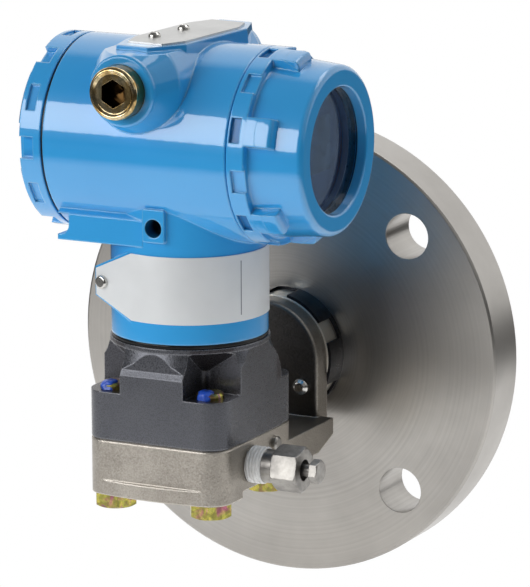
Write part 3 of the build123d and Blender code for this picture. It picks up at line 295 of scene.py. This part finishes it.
def blue_paint():
    """Gloss enamel with a faint orange peel, paler edges as a painted highlight, and painted shade in the lug
    recesses and the earth hole.
    """
    t = Tree("blue_enamel")
    cloud = t.noise(18.0, 3.0)
    colour = t.ramp(cloud, [(0.3, (0.022, 0.335, 0.745)), (0.7, (0.030, 0.372, 0.805))])
    peel = t.noise(330.0, 2.0, 0.45)
    edges = t.soft_edges(0.0009)
    # Painted highlight: the rounded edges are mixed towards a paler blue.
    colour = t.mix(t.times(t.edge_wear_and_highlight(edges, 0.02, 0.16), 0.55), colour, (0.22, 0.62, 0.90))
    x, y, z = t.axes()[:3]
    turn = t.math("ARCTAN2", t.math("SUBTRACT", z, BARREL_Z * MM), t.math("SUBTRACT", y, MODULE_Y * MM))
    copies = t.times(t.math("SUBTRACT", turn, math.radians(LUG_ANGLE)), float(LUG_COUNT))
    lugs = t.math("GREATER_THAN", t.math("COSINE", copies), 0.4)
    reach = t.radius(y, z, MODULE_Y * MM, BARREL_Z * MM)
    low = t.math("LESS_THAN", reach, RECESS_TOP * MM)
    start = t.math("GREATER_THAN", x, RECESS[0] * MM)
    end = t.math("LESS_THAN", x, RECESS[1] * MM)
    recess = t.times(low, start, lugs, end)
    # Painted shade: the lug recesses are mixed towards a dark blue.
    colour = t.mix(t.times(recess, 0.62), colour, (0.004, 0.085, 0.30))
    # Painted shade in the earth hole, darker further in.
    beside = t.math("LESS_THAN", t.radius(x, z, EARTH_X * MM, EARTH_Z * MM), EARTH_RADIUS * MM)
    hole = t.times(beside, t.math("LESS_THAN", y, EARTH_BACK * MM))
    deep = t.spread(y, EARTH_FACE * MM, (EARTH_FACE + 2.5) * MM, 0.60, 0.97)
    colour = t.mix(t.times(hole, deep), colour, (0.004, 0.006, 0.010))
    dull = t.math("MAXIMUM", recess, hole)
    normal = t.bump(peel, 0.03, 0.0006, edges)
    return t.set(colour=colour, rough=0.32, specular=0.3, coat=t.spread(dull, 0.0, 1.0, 1.0, 0.15),
                 coat_rough=0.035, coat_ior=1.68, normal=normal, coat_normal=normal)


def cast_metal(name, dark, light, metallic, rough, grain, depth, edge, glint, shaded=None, pockets=False):
    """Blasted casting: fine grain, softer large patches and lighter edges, partly worn and partly a painted
    highlight.

    shaded is a pair of Y places between which the front faces get a painted dark reflection; pockets paints
    shade into the bolt pockets.
    """
    t = Tree(name)
    patch = t.noise(38.0, 4.0, 0.6)
    fine = t.noise(grain, 3.0, 0.62)
    pits = t.cells(grain * 0.55)
    mixed = t.math("ADD", t.times(patch, 0.45), t.times(fine, 0.55))
    colour = t.ramp(mixed, [(0.34, dark), (0.66, light)])
    height = t.math("ADD", t.times(fine, 0.7), t.times(pits, 0.35))
    roughness = t.spread(fine, 0.35, 0.65, rough - glint, rough + 0.10)
    edges = t.soft_edges(edge)
    if shaded:
        # Painted dark reflection on the front faces between the shaded Y places; other faces get a quarter of
        # it.
        place = t.spread(t.axes()[1], shaded[0] * MM, shaded[1] * MM, 0.0, 1.0)
        facing = t.axes(t.nodes.new("ShaderNodeNewGeometry").outputs["Normal"])[1]
        front = t.spread(facing, -0.9, -0.6, 1.0, 0.25)
        colour = t.mix(t.times(place, front, 0.80), colour, (0.035, 0.034, 0.036))
    if pockets:
        # Painted shade in the bolt pockets at the module's corners.
        x, y, z = t.axes()[:3]
        beside = t.spread(t.math("ABSOLUTE", x), (POCKET_X - 0.4) * MM, (POCKET_X + 1.6) * MM, 0.0, 1.0)
        along = t.math("ABSOLUTE", t.math("SUBTRACT", y, MODULE_Y * MM))
        beyond = t.spread(along, (POCKET_Y - 0.4) * MM, (POCKET_Y + 1.6) * MM, 0.0, 1.0)
        above = t.spread(z, (POCKET_FLOOR - 0.6) * MM, (POCKET_FLOOR - 0.1) * MM, 0.0, 1.0)
        colour = t.mix(t.times(beside, beyond, above, 0.62), colour, (0.030, 0.022, 0.024))
    # Lighter edges: partly worn bare metal, partly a painted highlight.
    bare = tuple(min(1.0, 1.5 * c + 0.13) for c in light)
    colour = t.mix(t.times(t.edge_wear_and_highlight(edges), 0.75), colour, bare)
    normal = t.bump(height, depth, 0.0005, edges)
    return t.set(colour=colour, metallic=metallic, rough=roughness, normal=normal)


def turned_steel(name, light, dark, rough, axis="Y", centre=(0.0, 0.0), ring_depth=0.12):
    """Turned metal with fine concentric tool marks and faint stains."""
    t = Tree(name)
    x, y, z = t.axes()[:3]
    pair = {"X": (y, z), "Y": (x, z)}[axis]
    reach = t.radius(pair[0], pair[1], centre[0], centre[1])
    wave = t.math("SINE", t.times(reach, 5200.0))
    line = t.times(wave, t.noise(60.0, 3.0))
    combine = t.nodes.new("ShaderNodeCombineXYZ")
    t.link(t.times(reach, 900.0), combine.inputs[0])
    tool = t.noise(1.0, 2.0, 0.6, combine.outputs[0])
    stain = t.noise(22.0, 4.0, 0.62)
    fine = t.noise(1500.0, 2.0, 0.6)
    shade = t.math("ADD", t.times(stain, 0.55), t.times(tool, 0.45))
    colour = t.ramp(shade, [(0.32, dark), (0.62, light)])
    roughness = t.spread(shade, 0.3, 0.7, rough + 0.07, rough - 0.04)
    height = t.math("ADD", t.times(line, 0.5), t.math("ADD", tool, t.times(fine, 0.35)))
    normal = t.bump(height, ring_depth, 0.0003, t.soft_edges(0.0005))
    return t.set(colour=colour, metallic=1.0, rough=roughness, normal=normal)


def plain_steel(name, light, dark, rough, grain=700.0, depth=0.08, edge=0.0003):
    """Machined steel with fine grain and soft stains."""
    t = Tree(name)
    stain = t.noise(90.0, 4.0, 0.6)
    fine = t.noise(grain, 2.0, 0.6)
    shade = t.math("ADD", t.times(stain, 0.7), t.times(fine, 0.3))
    colour = t.ramp(shade, [(0.35, dark), (0.65, light)])
    roughness = t.spread(stain, 0.3, 0.7, rough + 0.08, rough - 0.04)
    normal = t.bump(fine, depth, 0.0002, t.soft_edges(edge))
    return t.set(colour=colour, metallic=1.0, rough=roughness, normal=normal)


def yellow_zinc(name, rough, tones, edge, plug=False):
    """Yellow passivated zinc; on the plug its thread and socket get painted shade, darkest in the thread roots.
    """
    t = Tree(name)
    film = t.noise(150.0, 3.0, 0.6, distortion=0.8)
    colour = t.ramp(film, tones)
    dirt = t.noise(420.0, 3.0, 0.6)
    shaded = t.mix(t.spread(dirt, 0.42, 0.6, 0.45, 0.0), colour, (0.07, 0.055, 0.035))
    if plug:
        # Painted shade on the plug: the thread is darkened, its roots made nearly black, and the socket darker
        # further in.
        x, y, z = t.axes()[:3]
        reach = t.radius(x, z, CONDUIT_X * MM, CONDUIT_Z * MM)
        beyond = t.math("GREATER_THAN", y, (PLUG_FACE + 1.5) * MM)
        shaded = t.mix(t.times(beyond, 0.88), shaded, (0.31, 0.165, 0.045))
        root = t.spread(reach, (PLUG_RADIUS - 0.50) * MM, (PLUG_RADIUS - 0.04) * MM, 0.98, 0.0)
        shaded = t.mix(t.times(root, beyond), shaded, (0.010, 0.008, 0.006))
        well = t.math("LESS_THAN", reach, 0.59 * SOCKET_FLATS * MM)
        deep = t.spread(y, (PLUG_FACE + 1.0) * MM, (PLUG_FACE + 8.0) * MM, 0.10, 0.80)
        shaded = t.mix(t.times(well, deep), shaded, (0.050, 0.026, 0.008))
    roughness = t.spread(dirt, 0.35, 0.65, rough + 0.10, rough)
    normal = t.bump(dirt, 0.06, 0.0002, t.soft_edges(edge))
    return t.set(colour=shaded, metallic=1.0, rough=roughness, normal=normal)


def plastic(name, colour, rough, grain=900.0, depth=0.05, edge=0.0003):
    """Moulded plastic or elastomer with a fine grain."""
    t = Tree(name)
    fine = t.noise(grain, 2.0)
    low = tuple(c * 0.85 for c in colour)
    shade = t.ramp(t.noise(60.0, 3.0), [(0.35, low), (0.65, colour)])
    roughness = t.spread(fine, 0.35, 0.65, rough - 0.04, rough + 0.06)
    normal = t.bump(fine, depth, 0.0002, t.soft_edges(edge))
    return t.set(colour=shade, rough=roughness, normal=normal)


def label_metal():
    """Pale satin label with one thin printed dividing line, otherwise bare."""
    t = Tree("pale_label")
    x, y, z = t.axes()[:3]
    cloud = t.noise(30.0, 3.0, 0.6)
    base = t.ramp(cloud, [(0.3, (0.76, 0.78, 0.79)), (0.7, (0.84, 0.86, 0.87))])
    angle = t.math("ARCTAN2", x, t.math("SUBTRACT", MODULE_Y * MM, y))
    across = t.math("ABSOLUTE", t.math("SUBTRACT", angle, LINE_ANGLE))
    on_line = t.math("LESS_THAN", across, LINE_HALF)
    line = t.times(on_line, t.math("GREATER_THAN", z, LINE_LOW), t.math("LESS_THAN", z, LINE_HIGH))
    colour = t.mix(line, base, (0.16, 0.17, 0.20))
    brush = t.noise(1.0, 2.0, 0.5, t.stretched((160.0, 160.0, 2600.0)))
    roughness = t.spread(brush, 0.3, 0.7, 0.34, 0.46)
    normal = t.bump(brush, 0.03, 0.0002, t.soft_edges(0.0002))
    return t.set(colour=colour, metallic=0.35, rough=roughness, normal=normal)


def plate_metal():
    """Brushed blank rating plate."""
    t = Tree("blank_plate")
    brush = t.noise(1.0, 3.0, 0.55, t.stretched((2600.0, 90.0, 400.0)))
    cloud = t.noise(45.0, 3.0, 0.6)
    shade = t.math("ADD", t.times(brush, 0.5), t.times(cloud, 0.5))
    base = t.ramp(shade, [(0.35, (0.50, 0.50, 0.49)), (0.65, (0.66, 0.66, 0.65))])
    roughness = t.spread(brush, 0.3, 0.7, 0.30, 0.44)
    normal = t.bump(brush, 0.06, 0.0002, t.soft_edges(0.0002))
    return t.set(colour=base, metallic=0.9, rough=roughness, normal=normal)


def lacquer():
    """Thick blue marking lacquer."""
    t = Tree("marking_lacquer")
    fine = t.noise(520.0, 3.0, 0.6)
    colour = t.ramp(fine, [(0.3, (0.010, 0.060, 0.44)), (0.7, (0.022, 0.115, 0.66))])
    normal = t.bump(fine, 0.3, 0.0005)
    return t.set(colour=colour, rough=0.42, coat=0.4, coat_rough=0.2, normal=normal)


def tape():
    """White thread tape, a little grey as painted shade in its folds."""
    t = Tree("thread_tape")
    streak = t.noise(1.0, 3.0, 0.6, t.stretched((2200.0, 260.0, 260.0)))
    # Painted shade: grey where the streaks are low, in the folds of the bump.
    colour = t.ramp(streak, [(0.3, (0.52, 0.52, 0.51)), (0.62, (0.82, 0.82, 0.81))])
    normal = t.bump(streak, 0.35, 0.0004)
    return t.set(colour=colour, rough=0.5, normal=normal)


def glass():
    """Bluish toughened pane over the dark compartment."""
    t = Tree("window_pane")
    smear = t.noise(55.0, 3.0, 0.6)
    roughness = t.spread(smear, 0.4, 0.7, 0.02, 0.07)
    return t.set(colour=(0.44, 0.62, 0.88), rough=roughness, transmission=1.0, ior=1.5)


def display_pane():
    """Switched-off grey-green display."""
    t = Tree("display_pane")
    cloud = t.noise(50.0, 2.0)
    colour = t.ramp(cloud, [(0.3, (0.060, 0.070, 0.062)), (0.7, (0.080, 0.090, 0.080))])
    return t.set(colour=colour, rough=0.18, coat=0.5, coat_rough=0.05)


def board_lacquer():
    """Green board lacquer over faint copper tracks."""
    t = Tree("board_lacquer")
    tracks = t.cells(260.0, 0.2)
    colour = t.ramp(tracks, [(0.25, (0.02, 0.16, 0.06)), (0.45, (0.03, 0.24, 0.10))])
    normal = t.bump(tracks, 0.2, 0.0003)
    return t.set(colour=colour, rough=0.35, normal=normal)


GOLD_TONES = [(0.30, (0.34, 0.22, 0.09)), (0.45, (0.66, 0.47, 0.20)), (0.55, (0.78, 0.64, 0.40)),
              (0.68, (0.50, 0.44, 0.25))]
HEAD_TONES = [(0.34, (0.42, 0.15, 0.20)), (0.42, (0.46, 0.30, 0.14)), (0.50, (0.40, 0.40, 0.09)),
              (0.57, (0.56, 0.46, 0.10)), (0.64, (0.44, 0.20, 0.26)), (0.72, (0.36, 0.38, 0.30))]


def dress():
    """Gives every carried-over solid its material."""
    blue = blue_paint()
    module = cast_metal("module_casting", (0.084, 0.087, 0.099), (0.128, 0.132, 0.148),
                        0.70, 0.29, 1900.0, 0.15, 0.0007, 0.09, pockets=True)
    casting = cast_metal("process_casting", (0.25, 0.226, 0.195), (0.50, 0.462, 0.41),
                         0.88, 0.36, 1500.0, 0.34, 0.0009, 0.08, HUB_STEP)
    flange = turned_steel("turned_flange", (0.49, 0.47, 0.44), (0.375, 0.356, 0.333), 0.31, ring_depth=0.035)
    hub = turned_steel("turned_hub", (0.80, 0.76, 0.68), (0.62, 0.59, 0.53), 0.40)
    band = plain_steel("dark_sleeve", (0.05, 0.05, 0.055), (0.02, 0.02, 0.024), 0.30)
    foil = plain_steel("bright_foil", (0.72, 0.72, 0.71), (0.60, 0.60, 0.59), 0.18)
    bright = plain_steel("bright_steel", (0.68, 0.67, 0.64), (0.48, 0.47, 0.45), 0.20)
    dark = plain_steel("black_steel", (0.05, 0.05, 0.055), (0.02, 0.02, 0.02), 0.38)
    vent = plain_steel("vent_steel", (0.38, 0.365, 0.34), (0.21, 0.20, 0.19), 0.34, 500.0, 0.12, 0.0006)
    rubber = plastic("black_elastomer", (0.012, 0.012, 0.013), 0.30)
    wet = plastic("glossy_elastomer", (0.006, 0.006, 0.007), 0.12, 300.0, 0.02, 0.0008)
    meter = plastic("meter_moulding", (0.012, 0.036, 0.095), 0.34)
    black = plastic("black_moulding", (0.028, 0.028, 0.030), 0.45)
    white = plastic("white_seal", (0.72, 0.72, 0.70), 0.5)
    aluminium = turned_steel("plain_aluminium", (0.42, 0.42, 0.43), (0.30, 0.30, 0.31), 0.34,
                             "X", (MODULE_Y * MM, BARREL_Z * MM))
    heads = yellow_zinc("bolt_plating", 0.26, HEAD_TONES, 0.0005)
    plug = yellow_zinc("plug_plating", 0.11, GOLD_TONES, 0.0002, True)
    chosen = {
        "housing": blue, "meter_cover": blue, "terminal_cover": blue,
        "sensor_module": module, "process_flange": casting, "mounting_flange": flange,
        "process_hub": hub, "hub_band": band, "process_diaphragm": foil, "isolator_diaphragms": foil,
        "hub_screws": bright, "neck_label_screw": bright, "nameplate_screws": bright,
        "terminal_screws": bright, "board_screws": bright, "ground_screw": bright,
        "rotation_set_screw": dark, "flange_bolts": heads, "conduit_plug": plug,
        "bolt_marks": lacquer(), "process_gaskets": white, "vent_tape": tape(),
        "vent_body": vent, "vent_stem": vent, "vent_ball": vent, "side_plug": vent,
        "neck_seal": wet, "meter_cover_seal": rubber, "terminal_cover_seal": rubber, "window_gasket": rubber,
        "neck_label": label_metal(), "nameplate": plate_metal(),
        "zero_button": black, "span_button": black, "window_glass": glass(), "display_glass": display_pane(),
        "window_retainer": aluminium, "electronics_board": board_lacquer(),
        "display_module": meter, "terminal_block": black,
    }
    for name, node in NODES.items():
        material = chosen[name]
        if not node.material_slots:
            node.data.materials.append(material)
        for slot in node.material_slots:
            slot.material = material
    return chosen


# Detail pieces

def outward_mesh(name, points, faces):
    """Mesh of the given points and faces, with its normals turned outwards."""
    mesh = bpy.data.meshes.new(name)
    mesh.from_pydata(points, [], faces)
    build = bmesh.new()
    build.from_mesh(mesh)
    bmesh.ops.recalc_face_normals(build, faces=build.faces)
    build.to_mesh(mesh)
    build.free()
    return mesh


def turned_mesh(name, rings, steps, place):
    """Strips of faces between rings of points; place turns a point in millimetres into its place in metres."""
    points = [place(point) for ring in rings for point in ring]
    faces = []
    for row in range(len(rings) - 1):
        for step in range(steps):
            near = row * steps + step
            side = row * steps + (step + 1) % steps
            faces.append((near, side, side + steps, near + steps))
    return outward_mesh(name, points, faces)


def add_piece(name, mesh, material, body, slot, *nodes):
    """Adds a smooth detail piece that rides on a body and stands for the given nodes."""
    mesh.materials.append(material)
    mesh.polygons.foreach_set("use_smooth", [True] * len(mesh.polygons))
    obj = bpy.data.objects.new(name, mesh)
    bpy.context.scene.collection.objects.link(obj)
    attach(obj, body)
    if nodes:
        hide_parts(*nodes)


def hexagon_reach(angle, flats):
    """Distance from the centre to a hexagon's side, with corners at the top and bottom."""
    sixth = math.pi / 3
    local = ((angle + sixth / 2) % sixth) - sixth / 2
    return flats / 2 / math.cos(local)


def conduit_plug(material):
    """Taper plug: real thread, narrow bright land, dished face and a hexagon socket."""
    steps = 144
    turns = [2 * math.pi * step / steps for step in range(steps)]

    def ring(reach, y):
        return [(reach * math.cos(a), y, reach * math.sin(a)) for a in turns]

    rings = []
    count = 110
    start = PLUG_FACE + LAND_WIDTH
    for row in range(count + 1):
        y = PLUG_END + (start - PLUG_END) * row / count
        points = []
        for a in turns:
            phase = (y / THREAD_PITCH - a / (2 * math.pi)) % 1.0
            tooth = 1 - abs(2 * phase - 1)
            tooth = min(1.0, max(0.0, tooth * 1.5 - 0.2))
            fade = min(1.0, max(0.0, (start - y) / 1.2))
            depth = THREAD_DEPTH * (1 - tooth) * fade
            wear = 0.05 * noise.noise(Vector((a * 3, y * 0.8, 4.2)))
            reach = PLUG_RADIUS - depth + wear
            points.append((reach * math.cos(a), y, reach * math.sin(a)))
        rings.append(points)
    rings += [ring(reach, PLUG_FACE + inward) for reach, inward in FACE_STEPS]
    hexagon = [hexagon_reach(a, SOCKET_FLATS) for a in turns]
    deep = PLUG_FACE + SOCKET_DEPTH
    for y in (PLUG_FACE + SOCKET_MOUTH, deep):
        rings.append([(r * math.cos(a), y, r * math.sin(a)) for a, r in zip(turns, hexagon)])
    rings.append(ring(2.0, deep + 0.2))
    rings.append(ring(0.05, deep + 1.2))
    mesh = turned_mesh("plug_with_thread", rings, steps, lambda p: (
        (CONDUIT_X + p[0]) * MM, p[1] * MM, (CONDUIT_Z + p[2]) * MM))
    add_piece("plug_with_thread", mesh, material, "housing_body", "zinc_plug", "conduit_plug")
    mesh.set_sharp_from_angle(angle=math.radians(38))


def wound_tape(material):
    """Thread tape wound over the valve's thread, with ridges and a loose edge."""
    steps = 120
    count = 46
    rings = []
    for row in range(count + 1):
        share = row / count
        x = BODY_SIDE + 0.02 + share * (TAPE_LENGTH - 0.06)
        points = []
        for step in range(steps):
            a = 2 * math.pi * step / steps
            ridge = math.sin(2 * math.pi * (x / TAPE_TURN - a / (2 * math.pi)))
            lap = ((x / TAPE_LAP + a / (2 * math.pi)) % 1.0) * 0.22
            lump = noise.noise(Vector((x * 0.55, 2.2 * math.cos(a), 2.2 * math.sin(a))))
            end = min(1.0, share * 14, (1 - share) * 14)
            reach = TAPE_RADIUS - 0.42 + 0.16 * ridge + lap + 0.22 * lump
            reach = TAPE_CORE + (reach - TAPE_CORE) * end
            points.append((x, reach * math.cos(a), reach * math.sin(a)))
        rings.append(points)
    mesh = turned_mesh("wound_tape", rings, steps, lambda p: (
        p[0] * MM, (VENT_Y + p[1]) * MM, (VENT_Z + p[2]) * MM))
    add_piece("wound_tape", mesh, material, "process_side", "white_tape", "vent_tape")


def lacquer_dabs(material):
    """Uneven dabs of lacquer that run from the bolt ends down to the pocket floors."""
    steps = 48
    rows = 14
    points, faces = [], []
    for index, (side, end) in enumerate(((-1, -1), (-1, 1), (1, -1), (1, 1))):
        shift_x, shift_y = DAB_SHIFTS[index]
        base = len(points)
        for row in range(rows):
            lift = row / (rows - 1)
            for step in range(steps):
                a = 2 * math.pi * step / steps
                lump = noise.noise(Vector((1.4 * math.cos(a), 1.4 * math.sin(a), lift * 2 + index * 9.1)))
                reach = (DAB_RADIUS + 0.75 * lump) * math.cos(lift * math.pi / 2) ** 0.45
                z = POCKET_FLOOR + 0.05 + (BOLT_END + 0.95 - POCKET_FLOOR) * math.sin(lift * math.pi / 2)
                x = side * BOLT_X + shift_x + reach * math.cos(a)
                y = MODULE_Y + end * BOLT_Y + shift_y + reach * math.sin(a)
                points.append((x * MM, y * MM, (z + 0.2 * lump * lift) * MM))
        for row in range(rows - 1):
            for step in range(steps):
                near = base + row * steps + step
                over = base + row * steps + (step + 1) % steps
                faces.append((near, over, over + steps, near + steps))
        faces.append(tuple(base + (rows - 1) * steps + step for step in range(steps)))
    mesh = bpy.data.meshes.new("lacquer_dabs")
    mesh.from_pydata(points, [], faces)
    add_piece("lacquer_dabs", mesh, material, "process_side", "blue_lacquer", "bolt_marks")


def lug_tails(material):
    """Long ends of the window cover's lugs, which fall gently and then round down to the drum."""
    profile = [(LUG_END - 0.02, LUG_TOP - 0.02)] + LUG_ROUNDING
    columns = 12
    points, faces = [], []
    for copy in range(LUG_COUNT):
        turn = math.radians(LUG_ANGLE + 360.0 / LUG_COUNT * copy)
        base = len(points)
        for row, (x, reach) in enumerate(profile):
            half = LUG_HALF - 0.01 - 0.7 * (row / (len(profile) - 1)) ** 4
            edge = [(-half, LUG_FOOT)]
            for column in range(columns + 1):
                u = half * (2 * column / columns - 1)
                edge.append((u, math.sqrt(reach ** 2 - u ** 2)))
            edge.append((half, LUG_FOOT))
            for u, out in edge:
                y = MODULE_Y + out * math.cos(turn) - u * math.sin(turn)
                z = BARREL_Z + out * math.sin(turn) + u * math.cos(turn)
                points.append((x * MM, y * MM, z * MM))
        wide = columns + 3
        for row in range(len(profile) - 1):
            for column in range(wide - 1):
                near = base + row * wide + column
                faces.append((near, near + 1, near + wide + 1, near + wide))
        faces.append(tuple(base + column for column in range(wide)))
        faces.append(tuple(base + (len(profile) - 1) * wide + column for column in range(wide)))
    mesh = outward_mesh("lug_tails", points, faces)
    add_piece("lug_tails", mesh, material, "meter_cover_body", "blue_paint")
    mesh.set_sharp_from_angle(angle=math.radians(35))


# Studio

# Brightness from straight down (0) to straight up (1), in front of the part and behind it
ROOM_LEVELS = [(0.0, 0.10), (0.47, 0.06), (0.55, 0.05), (0.72, 0.09), (0.88, 0.16), (1.0, 0.20)]
BACKDROP_LEVELS = [(0.0, 0.30), (0.55, 0.34), (0.66, 0.95), (0.86, 1.0), (0.93, 0.30), (1.0, 0.20)]
BACKDROP_EDGE = (0.20, 0.40)
FLOOR_SIZE = 4.0
FLOOR_GAP = 0.004
FLOOR_NEAR = (0.42, 0.60)
FLOOR_GLOW = 0.55
LAMP_TARGET = (0.0, -0.09, 0.06)

# Name, azimuth off -Y towards +X and elevation in degrees, distance, width and height in metres, watts
LAMPS = [("key", -31.0, 20.5, 1.6, 1.5, 0.80, 17.0),
         ("fill", 78.0, 34.0, 2.2, 1.9, 1.7, 3.6),
         ("top", 150.0, 62.0, 1.8, 1.4, 0.7, 7.0)]


def softbox(name, azimuth, elevation, distance, width, height, watts):
    """Rectangular lamp that faces the part."""
    a = math.radians(azimuth)
    e = math.radians(elevation)
    way = Vector((math.sin(a) * math.cos(e), -math.cos(a) * math.cos(e), math.sin(e)))
    data = bpy.data.lights.new(name, "AREA")
    data.shape = "RECTANGLE"
    data.size = width
    data.size_y = height
    data.energy = watts
    obj = bpy.data.objects.new(name, data)
    bpy.context.scene.collection.objects.link(obj)
    obj.location = Vector(LAMP_TARGET) + way * distance
    obj.rotation_mode = "QUATERNION"
    obj.rotation_quaternion = way.to_track_quat("Z", "Y")


def make_world():
    """White to the camera, through glass and, behind the part, in reflections; otherwise a graded room."""
    world = bpy.data.worlds.new("studio")
    bpy.context.scene.world = world
    world.use_nodes = True
    nodes, links = world.node_tree.nodes, world.node_tree.links
    nodes.clear()
    out = nodes.new("ShaderNodeOutputWorld")
    path = nodes.new("ShaderNodeLightPath")
    way = nodes.new("ShaderNodeTexCoord")
    split = nodes.new("ShaderNodeSeparateXYZ")
    links.new(way.outputs["Generated"], split.inputs[0])
    height = nodes.new("ShaderNodeMapRange")
    height.inputs["From Min"].default_value = -1.0
    height.inputs["From Max"].default_value = 1.0
    links.new(split.outputs[2], height.inputs["Value"])

    def levels(stops):
        ramp = nodes.new("ShaderNodeValToRGB")
        while len(ramp.color_ramp.elements) < len(stops):
            ramp.color_ramp.elements.new(0.5)
        for element, (place, level) in zip(ramp.color_ramp.elements, stops):
            element.position = place
            element.color = (level, level, level, 1.0)
        links.new(height.outputs["Result"], ramp.inputs["Fac"])
        return ramp.outputs["Color"]

    room = levels(ROOM_LEVELS)
    backdrop = levels(BACKDROP_LEVELS)
    back = nodes.new("ShaderNodeMapRange")
    back.inputs["From Min"].default_value = BACKDROP_EDGE[0]
    back.inputs["From Max"].default_value = BACKDROP_EDGE[1]
    links.new(split.outputs[1], back.inputs["Value"])
    lift = nodes.new("ShaderNodeMix")
    lift.data_type = "RGBA"
    sockets = [s for s in lift.inputs if s.enabled]
    links.new(back.outputs["Result"], sockets[0])
    links.new(room, sockets[1])
    links.new(backdrop, sockets[2])
    studio = nodes.new("ShaderNodeBackground")
    links.new([s for s in lift.outputs if s.enabled][0], studio.inputs["Color"])
    white = nodes.new("ShaderNodeBackground")
    white.inputs["Color"].default_value = (1, 1, 1, 1)
    choose = nodes.new("ShaderNodeMixShader")

    def combined(kind, first, second):
        node = nodes.new("ShaderNodeMath")
        node.operation = kind
        links.new(first, node.inputs[0])
        links.new(second, node.inputs[1])
        return node.outputs[0]

    seen = combined("MAXIMUM", path.outputs["Is Camera Ray"], path.outputs["Is Transmission Ray"])
    shiny = combined("MULTIPLY", path.outputs["Is Glossy Ray"], back.outputs["Result"])
    links.new(combined("MAXIMUM", seen, shiny), choose.inputs["Fac"])
    links.new(studio.outputs[0], choose.inputs[1])
    links.new(white.outputs[0], choose.inputs[2])
    links.new(choose.outputs[0], out.inputs["Surface"])


def make_floor():
    """Pale table under the part: white to the camera and through glass, otherwise a painted pool of light near
    the part, which also glows.
    """
    mesh = bpy.data.meshes.new("floor")
    size = FLOOR_SIZE
    z = CAD_BOX[0].z - FLOOR_GAP
    corners = [(-size, -size, z), (size, -size, z), (size, size, z), (-size, size, z)]
    mesh.from_pydata(corners, [], [(0, 1, 2, 3)])
    floor = bpy.data.objects.new("floor", mesh)
    bpy.context.scene.collection.objects.link(floor)
    t = Tree("pale_floor")
    t.nodes.remove(t.shader)
    x, y = t.axes()[:2]
    reach = t.radius(x, y, 0.0, -0.08)
    # Painted pool of light: the floor's colour falls from pale near the part to dark beyond, and it glows near
    # the part.
    near = t.spread(reach, FLOOR_NEAR[0], FLOOR_NEAR[1], 1.0, 0.0)
    matt = t.nodes.new("ShaderNodeBsdfDiffuse")
    t.link(t.ramp(near, [(0.0, 0.10), (1.0, 0.85)]), matt.inputs["Color"])
    glow = t.nodes.new("ShaderNodeEmission")
    glow.inputs["Color"].default_value = (1, 1, 1, 1)
    t.link(t.times(near, FLOOR_GLOW), glow.inputs["Strength"])
    add = t.nodes.new("ShaderNodeAddShader")
    white = t.nodes.new("ShaderNodeEmission")
    white.inputs["Color"].default_value = (1, 1, 1, 1)
    white.inputs["Strength"].default_value = 1.0
    path = t.nodes.new("ShaderNodeLightPath")
    mix = t.nodes.new("ShaderNodeMixShader")
    t.link(matt.outputs[0], add.inputs[0])
    t.link(glow.outputs[0], add.inputs[1])
    seen = t.math("MAXIMUM", path.outputs["Is Camera Ray"], path.outputs["Is Transmission Ray"])
    t.link(seen, mix.inputs["Fac"])
    t.link(add.outputs[0], mix.inputs[1])
    t.link(white.outputs[0], mix.inputs[2])
    t.link(mix.outputs[0], t.out.inputs["Surface"])
    mesh.materials.append(t.material)


make_camera()
finishes = dress()
conduit_plug(finishes["conduit_plug"])
wound_tape(finishes["vent_tape"])
lacquer_dabs(finishes["bolt_marks"])
lug_tails(finishes["meter_cover"])
make_world()
make_floor()
for lamp in LAMPS:
    softbox(*lamp)

bpy.context.scene.view_settings.view_transform = "Standard"
